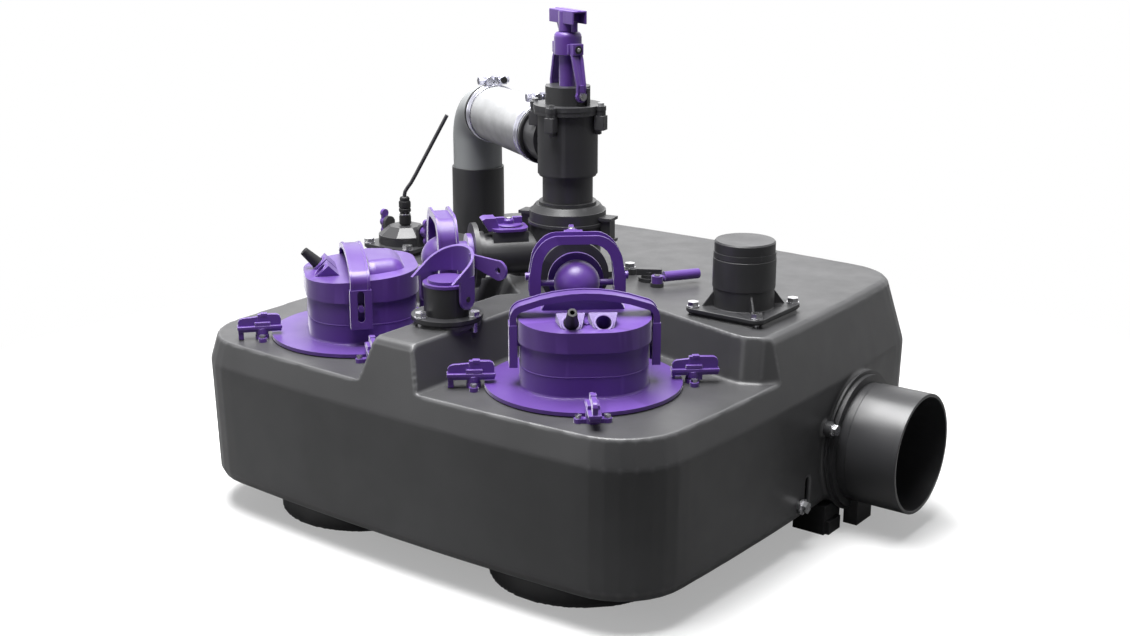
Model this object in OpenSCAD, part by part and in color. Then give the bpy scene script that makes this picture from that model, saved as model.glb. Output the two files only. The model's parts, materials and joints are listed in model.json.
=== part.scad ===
// Duplex sewage lifting station: moulded collecting tank with two sump wells,
// two lift-out pumps under round covers, a check valve and quick-release bail
// on each outlet, a Y collector, a quarter-turn valve on top of it, and the
// pressure line that loops over to a riser pipe.
// Millimetres. Origin: centre of the bounding box at floor level, +Z up,
// +X along the long side, towards the inlet. Side B is the +X pump, side A
// mirrors it.

/* [Tank] */
// Half length of the tank at the shoulder
tank_half_x = 375; // [370:1:400]
// Half width of the tank at the shoulder
tank_half_y = 358; // [350:1:380]
// How far the end faces bulge in the middle
bow_x = 8; // [4:1:12]
// How far the long faces bulge in the middle
bow_y = 9; // [4:1:12]
// Plan radius of the vertical corners
tank_corner_r = 93; // [80:1:105]
// Wall thickness of the moulding
tank_wall = 6; // [5:0.5:7]
// Underside of the tank above the floor
tank_bottom_z = 40; // [36:1:46]
// Height of the shoulder line
shoulder_z = 206; // [200:1:212]
// Height of the pump decks
deck_z = 240; // [236:1:244]
// Height of the raised rear part and centre ridge
top_z = 295; // [292:1:300]
// Inward lean of the walls above the shoulder, per unit of height
lean = 0.266; // [0.2:0.01:0.3]
// Draft of the walls below the shoulder, per unit of height
draft = 0.02; // [0:0.005:0.03]
// Rounding of the lower edge
foot_round = 14; // [8:1:18]
// Rounding of the top edge
top_round = 7; // [4:1:9]
// Half width of the centre ridge at deck level
ridge_half = 48; // [44:1:50]
// Front of the raised rear part at deck level, near the centre
rear_wall_y = -46; // [-52:1:-40]
// Front of the raised rear part at deck level, near the ends
rear_wall_end_y = -92; // [-96:1:-88]
// Radius of each sump well
sump_r = 118; // [112:1:122]
// Radius of the rear feet
foot_r = 40; // [30:1:50]
// Rear feet, distance from the centre along the tank
foot_x = 250; // [220:1:270]
// Rear feet, distance from the centre across the tank
foot_y = 235; // [200:1:250]

/* [Pumps] */
// Pump axis from the tank centre, along the tank
pump_x = 184; // [182:1:188]
// Pump axis from the tank centre, towards the front
pump_y = 206; // [202:1:208]
// Bearing of pump B, from its gland to its outlet
pump_bearing = 130.7; // [129:0.1:132]
// Radius of the round cover
cover_r = 120; // [119:0.5:121]
// Thickness of the round cover
cover_t = 4.5; // [4:0.5:6]
// Thickness of its gasket
gasket_t = 1.5; // [1:0.5:2]
// Radius of the opening in the deck
opening_r = 112.5; // [112:0.5:114]
// Corner radius of the motor casing in plan
casing_r = 58; // [56:1:60]
// Corner centres along the pump bearing
casing_dx = 13; // [11:1:15]
// Corner centres across the pump bearing
casing_dy = 19; // [17:1:21]
// Height of the lower ring
ring_h = 26; // [24:1:28]
// Height of the motor housing
housing_h = 30; // [28:1:32]
// Height of the cap at the gland end
cap_h = 25; // [23:1:27]
// How much the cap stands out over the housing
cap_lip = 3; // [2:0.5:3.5]
// Rise of the cap towards the outlet, degrees
cap_tilt = 3.5; // [2:0.5:4]
// Wall of rings, housing and cap
casing_wall = 4; // [3:0.5:5]
// Outlet riser, distance from the pump axis
riser_off = 92; // [91.9:0.1:92.4]
// Outlet riser, outer radius
riser_r = 14.5; // [13:0.5:14.5]
// Outlet riser, bore radius
riser_bore_r = 12; // [10:0.5:12]
// Shaft radius
shaft_r = 8; // [7:0.5:9]
// Running clearance of shafts and pins
fit = 0.05; // [0.02:0.01:0.08]
// Impeller radius
impeller_r = 62; // [50:1:66]
// Radius of the pump casing in the sump
volute_r = 84; // [80:1:86]

/* [Lifting bails] */
// Depth of the slotted legs, outwards from the cap
leg_d = 9; // [8:0.5:11]
// Play between the cap and the legs
leg_play = 0.5; // [0.4:0.1:1]
// Thickness of the legs
bail_t = 6.5; // [5:0.5:7]
// Width of the strap along the pump bearing
bail_w = 25; // [20:1:28]
// Centre of the strap along the pump bearing
bail_off = -8.5; // [-12:0.5:-5]
// Top of the strap
bail_top_z = 360; // [356:1:366]
// Bottom of the legs
bail_foot_z = 270; // [266:1:274]
// Upward travel of the bail
bail_travel = 13.5; // [8:0.5:13.5]

/* [Wing clamps] */
// Gap between a clamp boss and the cover's rim
clamp_rim_gap = 4; // [4:0.5:5]
// Screws each side of the pivot
clamp_screw_off = 16.5; // [15.5:0.5:16.5]
// Pivot stud radius
clamp_stud_r = 3; // [2.5:0.5:3.5]
// Thickness of the wing
wing_t = 5; // [4:0.5:6]
// Height of the wing above the deck
wing_top = 34; // [30:1:38]

/* [Check valves] */
// Ball chamber, distance from the pump axis
chamber_off = 111; // [110.5:0.5:112]
// Height of the outlet axis
outlet_z = 338; // [336:1:342]
// Outer radius of the ball chamber
chamber_r = 29; // [28:0.5:30]
// Ball radius
ball_r = 17; // [15:0.5:18]
// Radius of the pivot pins of the release bail
bail_pin_r = 4; // [3:0.5:5]
// Depth of the release bail along the outlet
arch_w = 27; // [24:1:30]

/* [Collector and valve] */
// Collector axis from the tank centre, towards the back
valve_y = 9; // [6:1:12]
// Outer radius of the collector branches
branch_r = 28; // [27:0.5:29]
// Bore radius of the collector branches
branch_bore_r = 21; // [18:0.5:22]
// Radius of the collector hub
hub_r = 45; // [43:1:47]
// Top of the hub, where the split collar starts
hub_top_z = 352; // [350:1:355]
// Radius of the split collar
collar_r = 52; // [50:0.5:53]
// Top of the split collar
collar_top_z = 404; // [400:1:408]
// Radius of the valve neck
neck_r = 34; // [33:0.5:35]
// Lower end of the valve body
body_z = 446; // [442:1:450]
// Upper end of the valve body
body_top_z = 527; // [524:1:530]
// Radius of the valve body
body_r = 40.5; // [40:0.5:42]
// Height of the hose axis
hose_z = 487; // [485:1:489]
// Radius of the bonnet
bonnet_r = 30; // [28:0.5:32]
// Radius of the valve stem
stem_r = 11.5; // [10:0.5:12]
// Top of the valve handle
handle_top_z = 663; // [655:1:670]

/* [Pressure line] */
// Riser pipe from the tank centre, along the tank
riser_x = -299; // [-304:1:-294]
// Riser pipe from the tank centre, towards the back
riser_y = 178; // [174:1:182]
// Outer radius of elbow and spigots
line_r = 37.5; // [37:0.5:38]
// Wall of the elbow
line_wall = 3; // [2:0.5:4]
// Outer radius of the riser pipe
pipe_r = 40; // [39.5:0.5:41]
// Wall of the hose
hose_wall = 3.3; // [3:0.1:4]
// Bend radius of the elbow at its centre line
elbow_bend = 46; // [42:1:50]
// Joint height of elbow and riser pipe
elbow_foot_z = 396; // [385:1:400]

/* [Inlet and vent] */
// Outer radius of the inlet pipe
inlet_r = 80; // [79:0.5:80]
// Wall of the inlet pipe
inlet_wall = 4.5; // [4:0.5:6]
// Inlet axis from the tank centre, towards the back
inlet_y = 137; // [130:1:145]
// Height of the inlet axis
inlet_z = 110.5; // [108:0.5:113]
// Length of pipe that stands out of the tank
inlet_reach = 94; // [80:1:120]
// Vent spigot from the tank centre, along the tank
vent_x = 277; // [273:1:279]
// Vent spigot from the tank centre, towards the back
vent_y = 11; // [8:1:14]
// Outer radius of the vent spigot
vent_r = 40; // [38:0.5:41]
// Half side of the vent plate
vent_plate = 56; // [54:1:57]
// Top of the vent cap
vent_top_z = 392; // [385:1:400]

/* [Level sensor] */
// Sensor from the tank centre, along the tank
sensor_x = -300; // [-302:1:-296]
// Sensor from the tank centre, towards the back
sensor_y = 10; // [6:1:14]
// Radius of the sensor ring
sensor_r = 39.5; // [38:0.5:41]
// Half side of the sensor plate
sensor_plate = 47; // [45:1:49]
// Radius of the signal tube
tube_r = 2.8; // [2:0.1:3.5]

/* [Hand pump connection] */
// Connection from the tank centre, towards the front
hand_y = 243; // [238:1:248]
// Radius of its flange
hand_flange_r = 45; // [44:0.5:46]
// Radius of its spigot
hand_r = 29; // [27:0.5:29.5]
// Height of the bail pivot
hand_pivot_z = 330; // [328:1:332]
// Lower edge of the visor band of its bail
visor_z = 354; // [353:1:357]
// Rise of the rim of the band towards the back, degrees
visor_tilt = 28.8; // [26:0.2:30]

/* [Hidden] */

$fn = 64;
eps = 0.01;
gap = 0.3;
purple = [0.35, 0.19, 0.6];
dark = [0.17, 0.17, 0.18];
black = [0.07, 0.07, 0.08];
grey = [0.55, 0.56, 0.57];
steel = [0.78, 0.78, 0.8];

// Frame: the tank centre sits left of the origin by half the pipe overhang
inlet_end_x = tank_half_x + bow_x + inlet_reach;
pipe_seat_r = inlet_r - 1;
tank_x = -(inlet_end_x - tank_half_x - bow_x) / 2;

// Heights of the pump stack
disc_z = deck_z + gasket_t;
disc_top_z = disc_z + cover_t;
ring_top_z = disc_top_z + ring_h;
housing_top_z = ring_top_z + housing_h;
cap_top_z = housing_top_z + cap_h;
clamp_boss_r = 9;
clamp_ring_r = cover_r + clamp_rim_gap + clamp_boss_r;
casing_half_x = casing_dx + casing_r;
casing_half_y = casing_dy + casing_r;

// Places of the four clamps round a cover, from the gland end
clamp_step = 90;
bolt_r = 4;
bolt_hole = bolt_r + 0.15;
screw_r = 2.5;
screw_hole = screw_r + 0.15;
plate_gap_z = top_z + 7;
vent_bolt = vent_plate - 10;
sensor_bolt = sensor_plate - 9;
hand_bolt_r = hand_flange_r - 7;
collector_lugs = [[-77, -11], [46, 84]];
hose_bearing = atan2(riser_y - valve_y, riser_x);
hose_reach = norm([riser_x, riser_y - valve_y]);

module at_tank() { translate([tank_x, 0, 0]) children(); }
// Puts a shape built for side B on side A (-1) or B (1)
module on_side(s) { mirror([s < 0 ? 1 : 0, 0, 0]) children(); }
// Pump frame: x along the bearing towards the outlet, y across it
module at_pump(s) {
  at_tank() on_side(s) translate([pump_x, -pump_y, 0]) rotate([0, 0, pump_bearing]) children();
}
module at_clamp(s, i) {
  at_pump(s) rotate([0, 0, 180 + i * clamp_step]) translate([clamp_ring_r, 0, 0]) children();
}
module at_valve() { at_tank() translate([0, valve_y, 0]) children(); }
// Branch frame: x from the collector axis towards the check valve of that side
branch_bearing = atan2(-pump_y - valve_y, pump_x);
branch_len = norm([pump_x, pump_y + valve_y]);
module at_branch(s) { at_valve() on_side(s) rotate([0, 0, branch_bearing]) children(); }

// A tube between two heights
module tube(z0, z1, outer, inner) {
  translate([0, 0, z0]) difference() {
    cylinder(h = z1 - z0, r = outer);
    translate([0, 0, -1]) cylinder(h = z1 - z0 + 2, r = inner);
  }
}
module rod(z0, z1, r) { translate([0, 0, z0]) cylinder(h = z1 - z0, r = r); }
// A round bar along x between two stations at height z
module bar_x(x0, x1, r, z = 0) {
  translate([x0, 0, z]) rotate([0, 90, 0]) cylinder(h = x1 - x0, r = r);
}
module bar_y(y0, y1, r, z = 0) {
  translate([0, y0, z]) rotate([-90, 0, 0]) cylinder(h = y1 - y0, r = r);
}
// Square plate with round corners, exact arcs
module round_plate(half_a, half_b, r, t) {
  linear_extrude(t) union() {
    square([2 * half_a, 2 * (half_b - r)], center = true);
    square([2 * (half_a - r), 2 * half_b], center = true);
    for (a = [-1, 1]) for (b = [-1, 1]) {
      translate([a * (half_a - r), b * (half_b - r)]) circle(r);
    }
  }
}

// Tank outline at inset d: corner arcs joined by shallow bows
function tank_outline(d) =
  let (a = tank_half_x - d, b = tank_half_y - d, r = tank_corner_r - d * 0.6)
  let (corner = [for (i = [0:8]) let (t = i * 90 / 8) [a - r + r * cos(t), b - r + r * sin(t)]])
  let (top = [for (i = [1:7]) let (u = 1 - i / 4) [u * (a - r), b + bow_y * (1 - u * u)]])
  let (side = [for (i = [1:7]) let (u = 1 - i / 4) [-a - bow_x * (1 - u * u), u * (b - r)]])
  let (left = [for (i = [8:-1:0]) [-corner[i][0], corner[i][1]]])
  let (half = concat(corner, top, left, side))
  concat(half, [for (p = half) [-p[0], -p[1]]]);
module tank_slice(z, d) { translate([0, 0, z]) linear_extrude(eps) polygon(tank_outline(d)); }
// Convex body of the tank; w is the inset of its walls
module tank_body(w) {
  z0 = tank_bottom_z + w;
  z1 = top_z - w;
  low = draft * (shoulder_z - tank_bottom_z);
  hull() {
    tank_slice(z0, low + foot_round + w);
    tank_slice(z0 + foot_round * 0.3, low + foot_round * 0.3 + w);
    tank_slice(z0 + foot_round, low + w);
    tank_slice(shoulder_z, w);
    tank_slice(z1 - top_round, lean * (top_z - shoulder_z - top_round) + w);
    tank_slice(z1 - top_round * 0.3, lean * (top_z - shoulder_z) + top_round * 0.3 + w);
    tank_slice(z1 - eps, lean * (top_z - shoulder_z) + top_round + w);
  }
}
// Plan of a pump bay at deck level, side B, with the pocket for the outlet
bay_far = 500;
bay_flare = 1.042;
module bay_plan() {
  polygon([[ridge_half, -bay_far], [bay_far, -bay_far], [bay_far, -20], [392, -20],
    [374, -58], [358, rear_wall_end_y + 11], [336, rear_wall_end_y], [316, rear_wall_end_y + 3],
    [160, rear_wall_y], [ridge_half, rear_wall_y - 40]]);
  translate([pump_x, -pump_y]) rotate(pump_bearing) translate([60, -46]) square([122, 92]);
}
// Bay cutter; w is the wall that is left around it
module bay(w) {
  translate([bay_far, -bay_far, deck_z - w])
    linear_extrude(height = top_z - deck_z + w + 5, scale = bay_flare)
      translate([-bay_far, bay_far]) offset(r = -12) offset(r = 12 + w) bay_plan();
}

/* The tank: one hollow moulding */
wall_x = tank_half_x + bow_x;
boss_r = inlet_r + 12;
conduit_r = line_r + 7;
conduit_z = 150;
socket_z = top_z - 33;
module tank_shell() {
  color(dark) at_tank() difference() {
    union() {
      difference() {
        union() {
          difference() {
            tank_body(0);
            bay(0);
            mirror([1, 0, 0]) bay(0);
          }
          for (s = [-1, 1]) translate([s * pump_x, -pump_y, 0]) rod(0, tank_bottom_z + 8, sump_r);
          translate([0, inlet_y, 0]) {
            bar_x(wall_x - 70, wall_x + 2, boss_r, inlet_z);
            for (t = ring_bolt_angles) translate([0, ring_bolt_r * cos(t), 0]) {
              bar_x(wall_x - 22, wall_x + 2, ring_lobe_r, inlet_z + ring_bolt_r * sin(t));
            }
          }
        }
        difference() {
          tank_body(tank_wall);
          bay(tank_wall);
          mirror([1, 0, 0]) bay(tank_wall);
        }
        for (s = [-1, 1]) translate([s * pump_x, -pump_y, 0]) {
          rod(tank_wall, tank_bottom_z + 20, sump_r - tank_wall);
        }
      }
      for (s = [-1, 1]) translate([s * foot_x, foot_y, 0]) rod(0, tank_bottom_z + 2, foot_r);
      translate([riser_x, riser_y, 0]) {
        rod(conduit_z, top_z - 3, conduit_r + 3);
        translate([0, 0, conduit_z]) sphere(conduit_r + 3);
        bar_y(0, tank_half_y + 2 - riser_y, conduit_r + 3, conduit_z);
      }
      translate([vent_x, vent_y, top_z - 2]) round_plate(vent_plate - 3, vent_plate - 3, 12, 7);
      translate([sensor_x, sensor_y, top_z - 2]) round_plate(sensor_plate - 3, sensor_plate - 3, 12, 7);
      translate([0, -hand_y, 0]) rod(top_z - 2, top_z + 5, hand_flange_r - 3);
    }
    // Deck openings, screw and bolt holes
    for (s = [-1, 1]) translate([s * pump_x, -pump_y, 0]) {
      rod(deck_z - tank_wall - 8, deck_z + 1, opening_r);
      for (i = [0:3]) rotate([0, 0, (s < 0 ? 180 - pump_bearing : pump_bearing) + 180 + i * clamp_step]) {
        for (t = [-1, 1]) translate([clamp_ring_r, t * clamp_screw_off, 0]) {
          rod(deck_z - 20, deck_z + 1, screw_hole);
        }
        translate([clamp_ring_r, 0, 0]) rod(deck_z - 20, deck_z + 1, clamp_stud_r + 0.3);
      }
    }
    translate([vent_x, vent_y, 0]) {
      rod(top_z - 20, top_z + 6, vent_r - 4);
      for (a = [-1, 1]) for (b = [-1, 1]) translate([a * vent_bolt, b * vent_bolt, 0]) {
        rod(top_z - 20, top_z + 6, bolt_hole);
      }
    }
    translate([sensor_x, sensor_y, 0]) {
      rod(top_z - 20, top_z + 6, sensor_r - 8);
      for (a = [-1, 1]) for (b = [-1, 1]) translate([a * sensor_bolt, b * sensor_bolt, 0]) {
        rod(top_z - 20, top_z + 6, bolt_hole);
      }
    }
    translate([0, -hand_y, 0]) {
      rod(top_z - 20, top_z + 6, hand_r - 3);
      for (i = [0:2]) rotate([0, 0, hand_bolt_turn + i * 120]) translate([hand_bolt_r, 0, 0]) {
        rod(top_z - 20, top_z + 6, bolt_hole);
      }
    }
    for (p = collector_lugs) translate([p[0], valve_y + p[1], 0]) rod(top_z - 20, top_z + 1, bolt_hole);
    // Inlet, pressure line and drain
    translate([0, inlet_y, 0]) {
      bar_x(wall_x - 80, wall_x + 5, pipe_seat_r + gap, inlet_z);
      bar_x(wall_x - 20, wall_x + 5, inlet_r + 5, inlet_z);
      for (t = ring_bolt_angles) {
        translate([0, ring_bolt_r * cos(t), inlet_z + ring_bolt_r * sin(t)]) {
          bar_x(wall_x - 18, wall_x + 5, bolt_hole);
        }
      }
    }
    translate([riser_x, riser_y, 0]) {
      rod(conduit_z, top_z, line_r - 4);
      rod(socket_z, top_z + 1, pipe_r + gap);
      bar_y(0, tank_half_y + bow_y + 1 - riser_y, line_r - 4, conduit_z);
      bar_y(tank_half_y - riser_y - 46, tank_half_y + bow_y + 1 - riser_y, line_r + 0.4, conduit_z);
    }
    translate([0, drain_y, 0]) bar_x(wall_x - 30, wall_x + 1, drain_r + 0.2, drain_z);
    // Recess beside the drain plug
    translate([wall_x - 11, 5, 36]) cube([12, 12, 60]);
  }
}
hand_bolt_turn = 12;
ring_bolt_angles = [155, 335];
ring_bolt_r = inlet_r + 20;
ring_lobe_r = 10;
drain_y = -6;
drain_z = 62;
drain_r = 8;

// Foot under the wall beside the inlet: takes the load of the pipe
foot_block_y = 78;
foot_block_w = 44;
module inlet_foot() {
  color(black) at_tank() difference() {
    translate([0, foot_block_y - foot_block_w / 2, 0]) {
      translate([wall_x - 46, 0, 0]) cube([46, foot_block_w, tank_bottom_z - 0.1]);
      translate([wall_x - 1, 5, 0]) cube([6, foot_block_w - 12, 18]);
    }
    translate([0, inlet_y, 0]) bar_x(wall_x - 50, wall_x + 9, boss_r + gap, inlet_z);
  }
}

module drain_plug() {
  color(steel) at_tank() translate([wall_x, drain_y, drain_z]) rotate([0, 90, 0]) {
    cylinder(h = 8, r = 8, $fn = 6);
    translate([0, 0, -0.6]) cylinder(h = 2, r = 10.5);
    translate([0, 0, -14]) cylinder(h = 15, r = drain_r);
  }
}

// Inlet pipe, sealed in the tank boss and held by the clamp ring
module inlet_pipe() {
  color(dark) at_tank() translate([0, inlet_y, 0]) difference() {
    union() {
      bar_x(wall_x - 55, wall_x + 25, pipe_seat_r, inlet_z);
      bar_x(wall_x + 24, inlet_end_x, inlet_r, inlet_z);
    }
    bar_x(wall_x - 56, inlet_end_x + 1, inlet_r - inlet_wall, inlet_z);
  }
}
ring_t = 9;
module inlet_clamp_ring() {
  color(black) at_tank() translate([wall_x + 2.2, inlet_y, inlet_z]) difference() {
    union() {
      bar_x(0, ring_t, inlet_r + 9);
      bar_x(0, 3, inlet_r + 14);
      for (t = ring_bolt_angles) {
        translate([0, ring_bolt_r * cos(t), 0]) bar_x(0, ring_t, ring_lobe_r, ring_bolt_r * sin(t));
        rotate([t, 0, 0]) translate([1, inlet_r + 2, 2 - ring_lobe_r]) {
          cube([ring_t - 2, ring_bolt_r - inlet_r - 6, 2 * ring_lobe_r - 4]);
        }
      }
      // Toe under the ring steadies the pipe on the floor
      translate([0, -30, 2 - inlet_z]) cube([20, 42, 34]);
    }
    bar_x(-1, 21, pipe_seat_r + gap);
    for (t = ring_bolt_angles) translate([0, ring_bolt_r * cos(t), 0]) {
      bar_x(-1, 30, bolt_hole, ring_bolt_r * sin(t));
      bar_x(ring_t, 30, ring_lobe_r, ring_bolt_r * sin(t));
    }
  }
}

// Flat gaskets and the inlet ring seal
module rubber_seals() {
  color(black) {
    for (s = [-1, 1]) at_pump(s) tube(deck_z, disc_z, cover_r - 1.2, opening_r + 0.5);
    at_tank() translate([vent_x, vent_y, top_z + 5]) difference() {
      round_plate(vent_plate - 1.5, vent_plate - 1.5, 13, 2);
      translate([0, 0, -1]) cylinder(h = 5, r = vent_r - 4);
      for (a = [-1, 1]) for (b = [-1, 1]) translate([a * vent_bolt, b * vent_bolt, -1]) {
        cylinder(h = 5, r = bolt_hole);
      }
    }
    at_tank() translate([sensor_x, sensor_y, top_z + 5]) difference() {
      round_plate(sensor_plate - 1.5, sensor_plate - 1.5, 13, 2);
      translate([0, 0, -1]) cylinder(h = 5, r = sensor_r - 8);
      for (a = [-1, 1]) for (b = [-1, 1]) translate([a * sensor_bolt, b * sensor_bolt, -1]) {
        cylinder(h = 5, r = bolt_hole);
      }
    }
    at_tank() translate([0, -hand_y, top_z + 5]) difference() {
      cylinder(h = 2, r = hand_flange_r - 1.5);
      translate([0, 0, -1]) cylinder(h = 5, r = hand_r - 3);
      for (i = [0:2]) rotate([0, 0, hand_bolt_turn + i * 120]) translate([hand_bolt_r, 0, -1]) {
        cylinder(h = 5, r = bolt_hole);
      }
    }
    at_tank() translate([0, inlet_y, inlet_z]) difference() {
      bar_x(wall_x - 19, wall_x - 4, inlet_r + 4.7);
      bar_x(wall_x - 20, wall_x - 3, pipe_seat_r + gap);
    }
  }
}

// Vent spigot on a square bolted plate with corner gussets
module vent_spigot() {
  color(dark) at_tank() translate([vent_x, vent_y, plate_gap_z]) {
    difference() {
      union() {
        round_plate(vent_plate, vent_plate, 13, 5);
        cylinder(h = vent_top_z - 23 - plate_gap_z, r = vent_r - 1);
        translate([0, 0, 30]) cylinder(h = vent_top_z - 22 - plate_gap_z - 30, r = vent_r);
        for (i = [0:3]) rotate([0, 0, 45 + i * 90]) {
          translate([vent_r - 3, 1.5, 4]) rotate([90, 0, 0]) {
            linear_extrude(3) polygon([[0, 0], [18, 0], [0, 24]]);
          }
        }
      }
      translate([0, 0, -1]) cylinder(h = 100, r = vent_r - 4);
      for (a = [-1, 1]) for (b = [-1, 1]) translate([a * vent_bolt, b * vent_bolt, -1]) {
        cylinder(h = 8, r = bolt_hole);
      }
    }
  }
}
module vent_cap() {
  color(dark) at_tank() translate([vent_x, vent_y, 0]) {
    difference() {
      union() {
        rod(vent_top_z - 22 + gap, vent_top_z - 14, vent_r - 0.5);
        rod(vent_top_z - 14 - eps, vent_top_z - 2, vent_r - 1.5);
        translate([0, 0, vent_top_z - 2 - eps]) cylinder(h = 2 + eps, r1 = vent_r - 1.5, r2 = vent_r - 3);
        rod(vent_top_z - 32, vent_top_z - 20, vent_r - 4 - gap);
      }
      rod(vent_top_z - 40, vent_top_z - 5, vent_r - 8);
    }
  }
}

// Every M8 hexagon bolt that holds a flange
head_h = 5.5;
module m8(z, shank) {
  translate([0, 0, z]) cylinder(h = 1.4, r = 8);
  translate([0, 0, z + 1.4 - eps]) cylinder(h = head_h, r = 13 / sqrt(3), $fn = 6);
  rod(z - shank, z + 1, bolt_r);
}
module flange_bolts() {
  color(steel) at_tank() {
    for (a = [-1, 1]) for (b = [-1, 1]) {
      translate([vent_x + a * vent_bolt, vent_y + b * vent_bolt, 0]) m8(plate_gap_z + 5, 20);
      translate([sensor_x + a * sensor_bolt, sensor_y + b * sensor_bolt, 0]) m8(plate_gap_z + 5, 20);
    }
    for (i = [0:2]) translate([0, -hand_y, 0]) rotate([0, 0, hand_bolt_turn + i * 120]) {
      translate([hand_bolt_r, 0, 0]) m8(plate_gap_z + 5, 20);
    }
    for (p = collector_lugs) translate([p[0], valve_y + p[1], 0]) m8(lug_top_z, 16);
    for (t = ring_bolt_angles) {
      translate([wall_x + 2.2 + ring_t, inlet_y + ring_bolt_r * cos(t), inlet_z + ring_bolt_r * sin(t)]) {
        rotate([0, 90, 0]) m8(0, 24);
      }
    }
    for (t = [0, 180]) translate([0, valve_y, yoke_eye_z]) rotate([0, 0, handle_bearing + t]) {
      bar_x(yoke_eye_x + leg_t, yoke_eye_x + leg_t + 4, 5);
      bar_x(bonnet_r - 8, yoke_eye_x + leg_t + 1, screw_r);
    }
    for (i = [0:3]) translate([0, valve_y, 0]) rotate([0, 0, body_bolt_turn + i * 90]) {
      translate([body_bolt_r, 0, 0]) {
        rod(bonnet_z + bonnet_flange_t, bonnet_z + bonnet_flange_t + 4, 8 / sqrt(3), $fn = 6);
        rod(body_top_z - 16, bonnet_z + bonnet_flange_t + 1, screw_r);
      }
    }
  }
}

// Plan of the motor casing, grown by d
module casing_plan(d) {
  for (a = [-1, 1]) for (b = [-1, 1]) translate([a * casing_dx, b * casing_dy]) circle(casing_r + d);
  square([2 * (casing_half_x + d), 2 * casing_dy], center = true);
  square([2 * casing_dx, 2 * (casing_half_y + d)], center = true);
}
module casing_shell(z0, z1, d, w) {
  translate([0, 0, z0]) linear_extrude(z1 - z0) difference() {
    casing_plan(d);
    casing_plan(d - w);
  }
}

// Pump cover: disc, lower ring, column, pump casing in the sump and riser
column_r = 44;
volute_z0 = 58;
volute_z1 = 112;
eye_r = 34;
riser_top_z = 306;
module pump_cover(s) {
  color(purple) at_pump(s) difference() {
    union() {
      rod(disc_z, disc_top_z, cover_r);
      rod(disc_top_z - eps, disc_top_z + 1, casing_half_x - 2);
      casing_shell(disc_top_z - eps, ring_top_z, 0, casing_wall);
      rod(volute_z1 - 4, disc_z + 1, column_r);
      rod(volute_z0, volute_z1, volute_r);
      rod(disc_top_z - eps, disc_top_z + 6, shaft_r + 12);
      translate([riser_off, 0, 0]) rod(volute_z0 + 22, riser_top_z, riser_r);
      translate([0, -riser_r, volute_z0 + 4]) cube([riser_off, 2 * riser_r, 44]);
    }
    rod(volute_z1 - 8, disc_top_z - 14, column_r - 5);
    rod(volute_z0 + 5, volute_z1 - 5, volute_r - 6);
    rod(volute_z0 - 1, volute_z1 - 6, eye_r);
    rod(volute_z0, ring_top_z, shaft_r + fit);
    translate([riser_off, 0, 0]) rod(volute_z0 + 26, riser_top_z + 1, riser_bore_r);
    translate([volute_r - 20, 0, 0]) bar_x(0, riser_off - volute_r + 20, riser_bore_r, volute_z0 + 27);
  }
}

guide_pin_r = 4;
guide_pin_z = 297;
stator_r = 54;
module motor_housing(s) {
  color(purple) at_pump(s) {
    difference() {
      union() {
        casing_shell(ring_top_z, housing_top_z, 0, casing_wall);
        for (t = [-1, 1]) translate([bail_off, 0, 0]) {
          bar_y(min(t * (casing_half_y - 2), t * (bail_half + 1)),
                max(t * (casing_half_y - 2), t * (bail_half + 1)), guide_pin_r, guide_pin_z);
        }
        translate([0, 0, ring_top_z]) linear_extrude(8) casing_plan(-casing_wall + 1);
        rod(ring_top_z, housing_top_z - 6, stator_r + 4);
      }
      rod(ring_top_z - 1, housing_top_z + 1, stator_r - 3);
      rod(ring_top_z + 3, housing_top_z + 1, stator_r + gap);
    }
  }
}
module stators() {
  color(steel) for (s = [-1, 1]) at_pump(s) {
    tube(ring_top_z + 3, housing_top_z - 3, stator_r, rotor_core_r + 1);
  }
}
rotor_core_r = 27;
module rotor(s) {
  color(grey) at_pump(s) {
    rod(volute_z0 + 12, cap_top_z - 8, shaft_r);
    rod(ring_top_z + 4, housing_top_z - 4, rotor_core_r);
    rod(volute_z0 + 20, volute_z0 + 25, impeller_r);
    rod(volute_z0 + 12, volute_z0 + 34, shaft_r + 8);
    for (i = [0:4]) rotate([0, 0, i * 72]) {
      translate([shaft_r + 2, -2, volute_z0 + 10]) cube([impeller_r - shaft_r - 6, 4, 12]);
    }
  }
}

gland_x = -50;
gland_y = 19;
gland_tilt = 45;
boss_out_r = 14.5;
gland_bore_r = 9;
module at_gland(t) {
  translate([gland_x, t * gland_y, cap_top_z + 2]) rotate([0, -gland_tilt, 0]) children();
}
module gland_outline() {
  circle(boss_out_r - 1.5);
  polygon([[-4, -boss_out_r + 2.1], [-4, boss_out_r - 2.1], [14, boss_out_r + 2.5], [14, -boss_out_r - 2.5]]);
}
module cap_solid(d, drop) {
  difference() {
    translate([0, 0, housing_top_z - (d < 0 ? 1 : 0)]) linear_extrude(40) casing_plan(cap_lip + d);
    translate([-casing_half_x, 0, cap_top_z - drop]) rotate([0, -cap_tilt, 0]) {
      translate([-60, -120, 0]) cube([300, 240, 60]);
    }
  }
}
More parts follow.
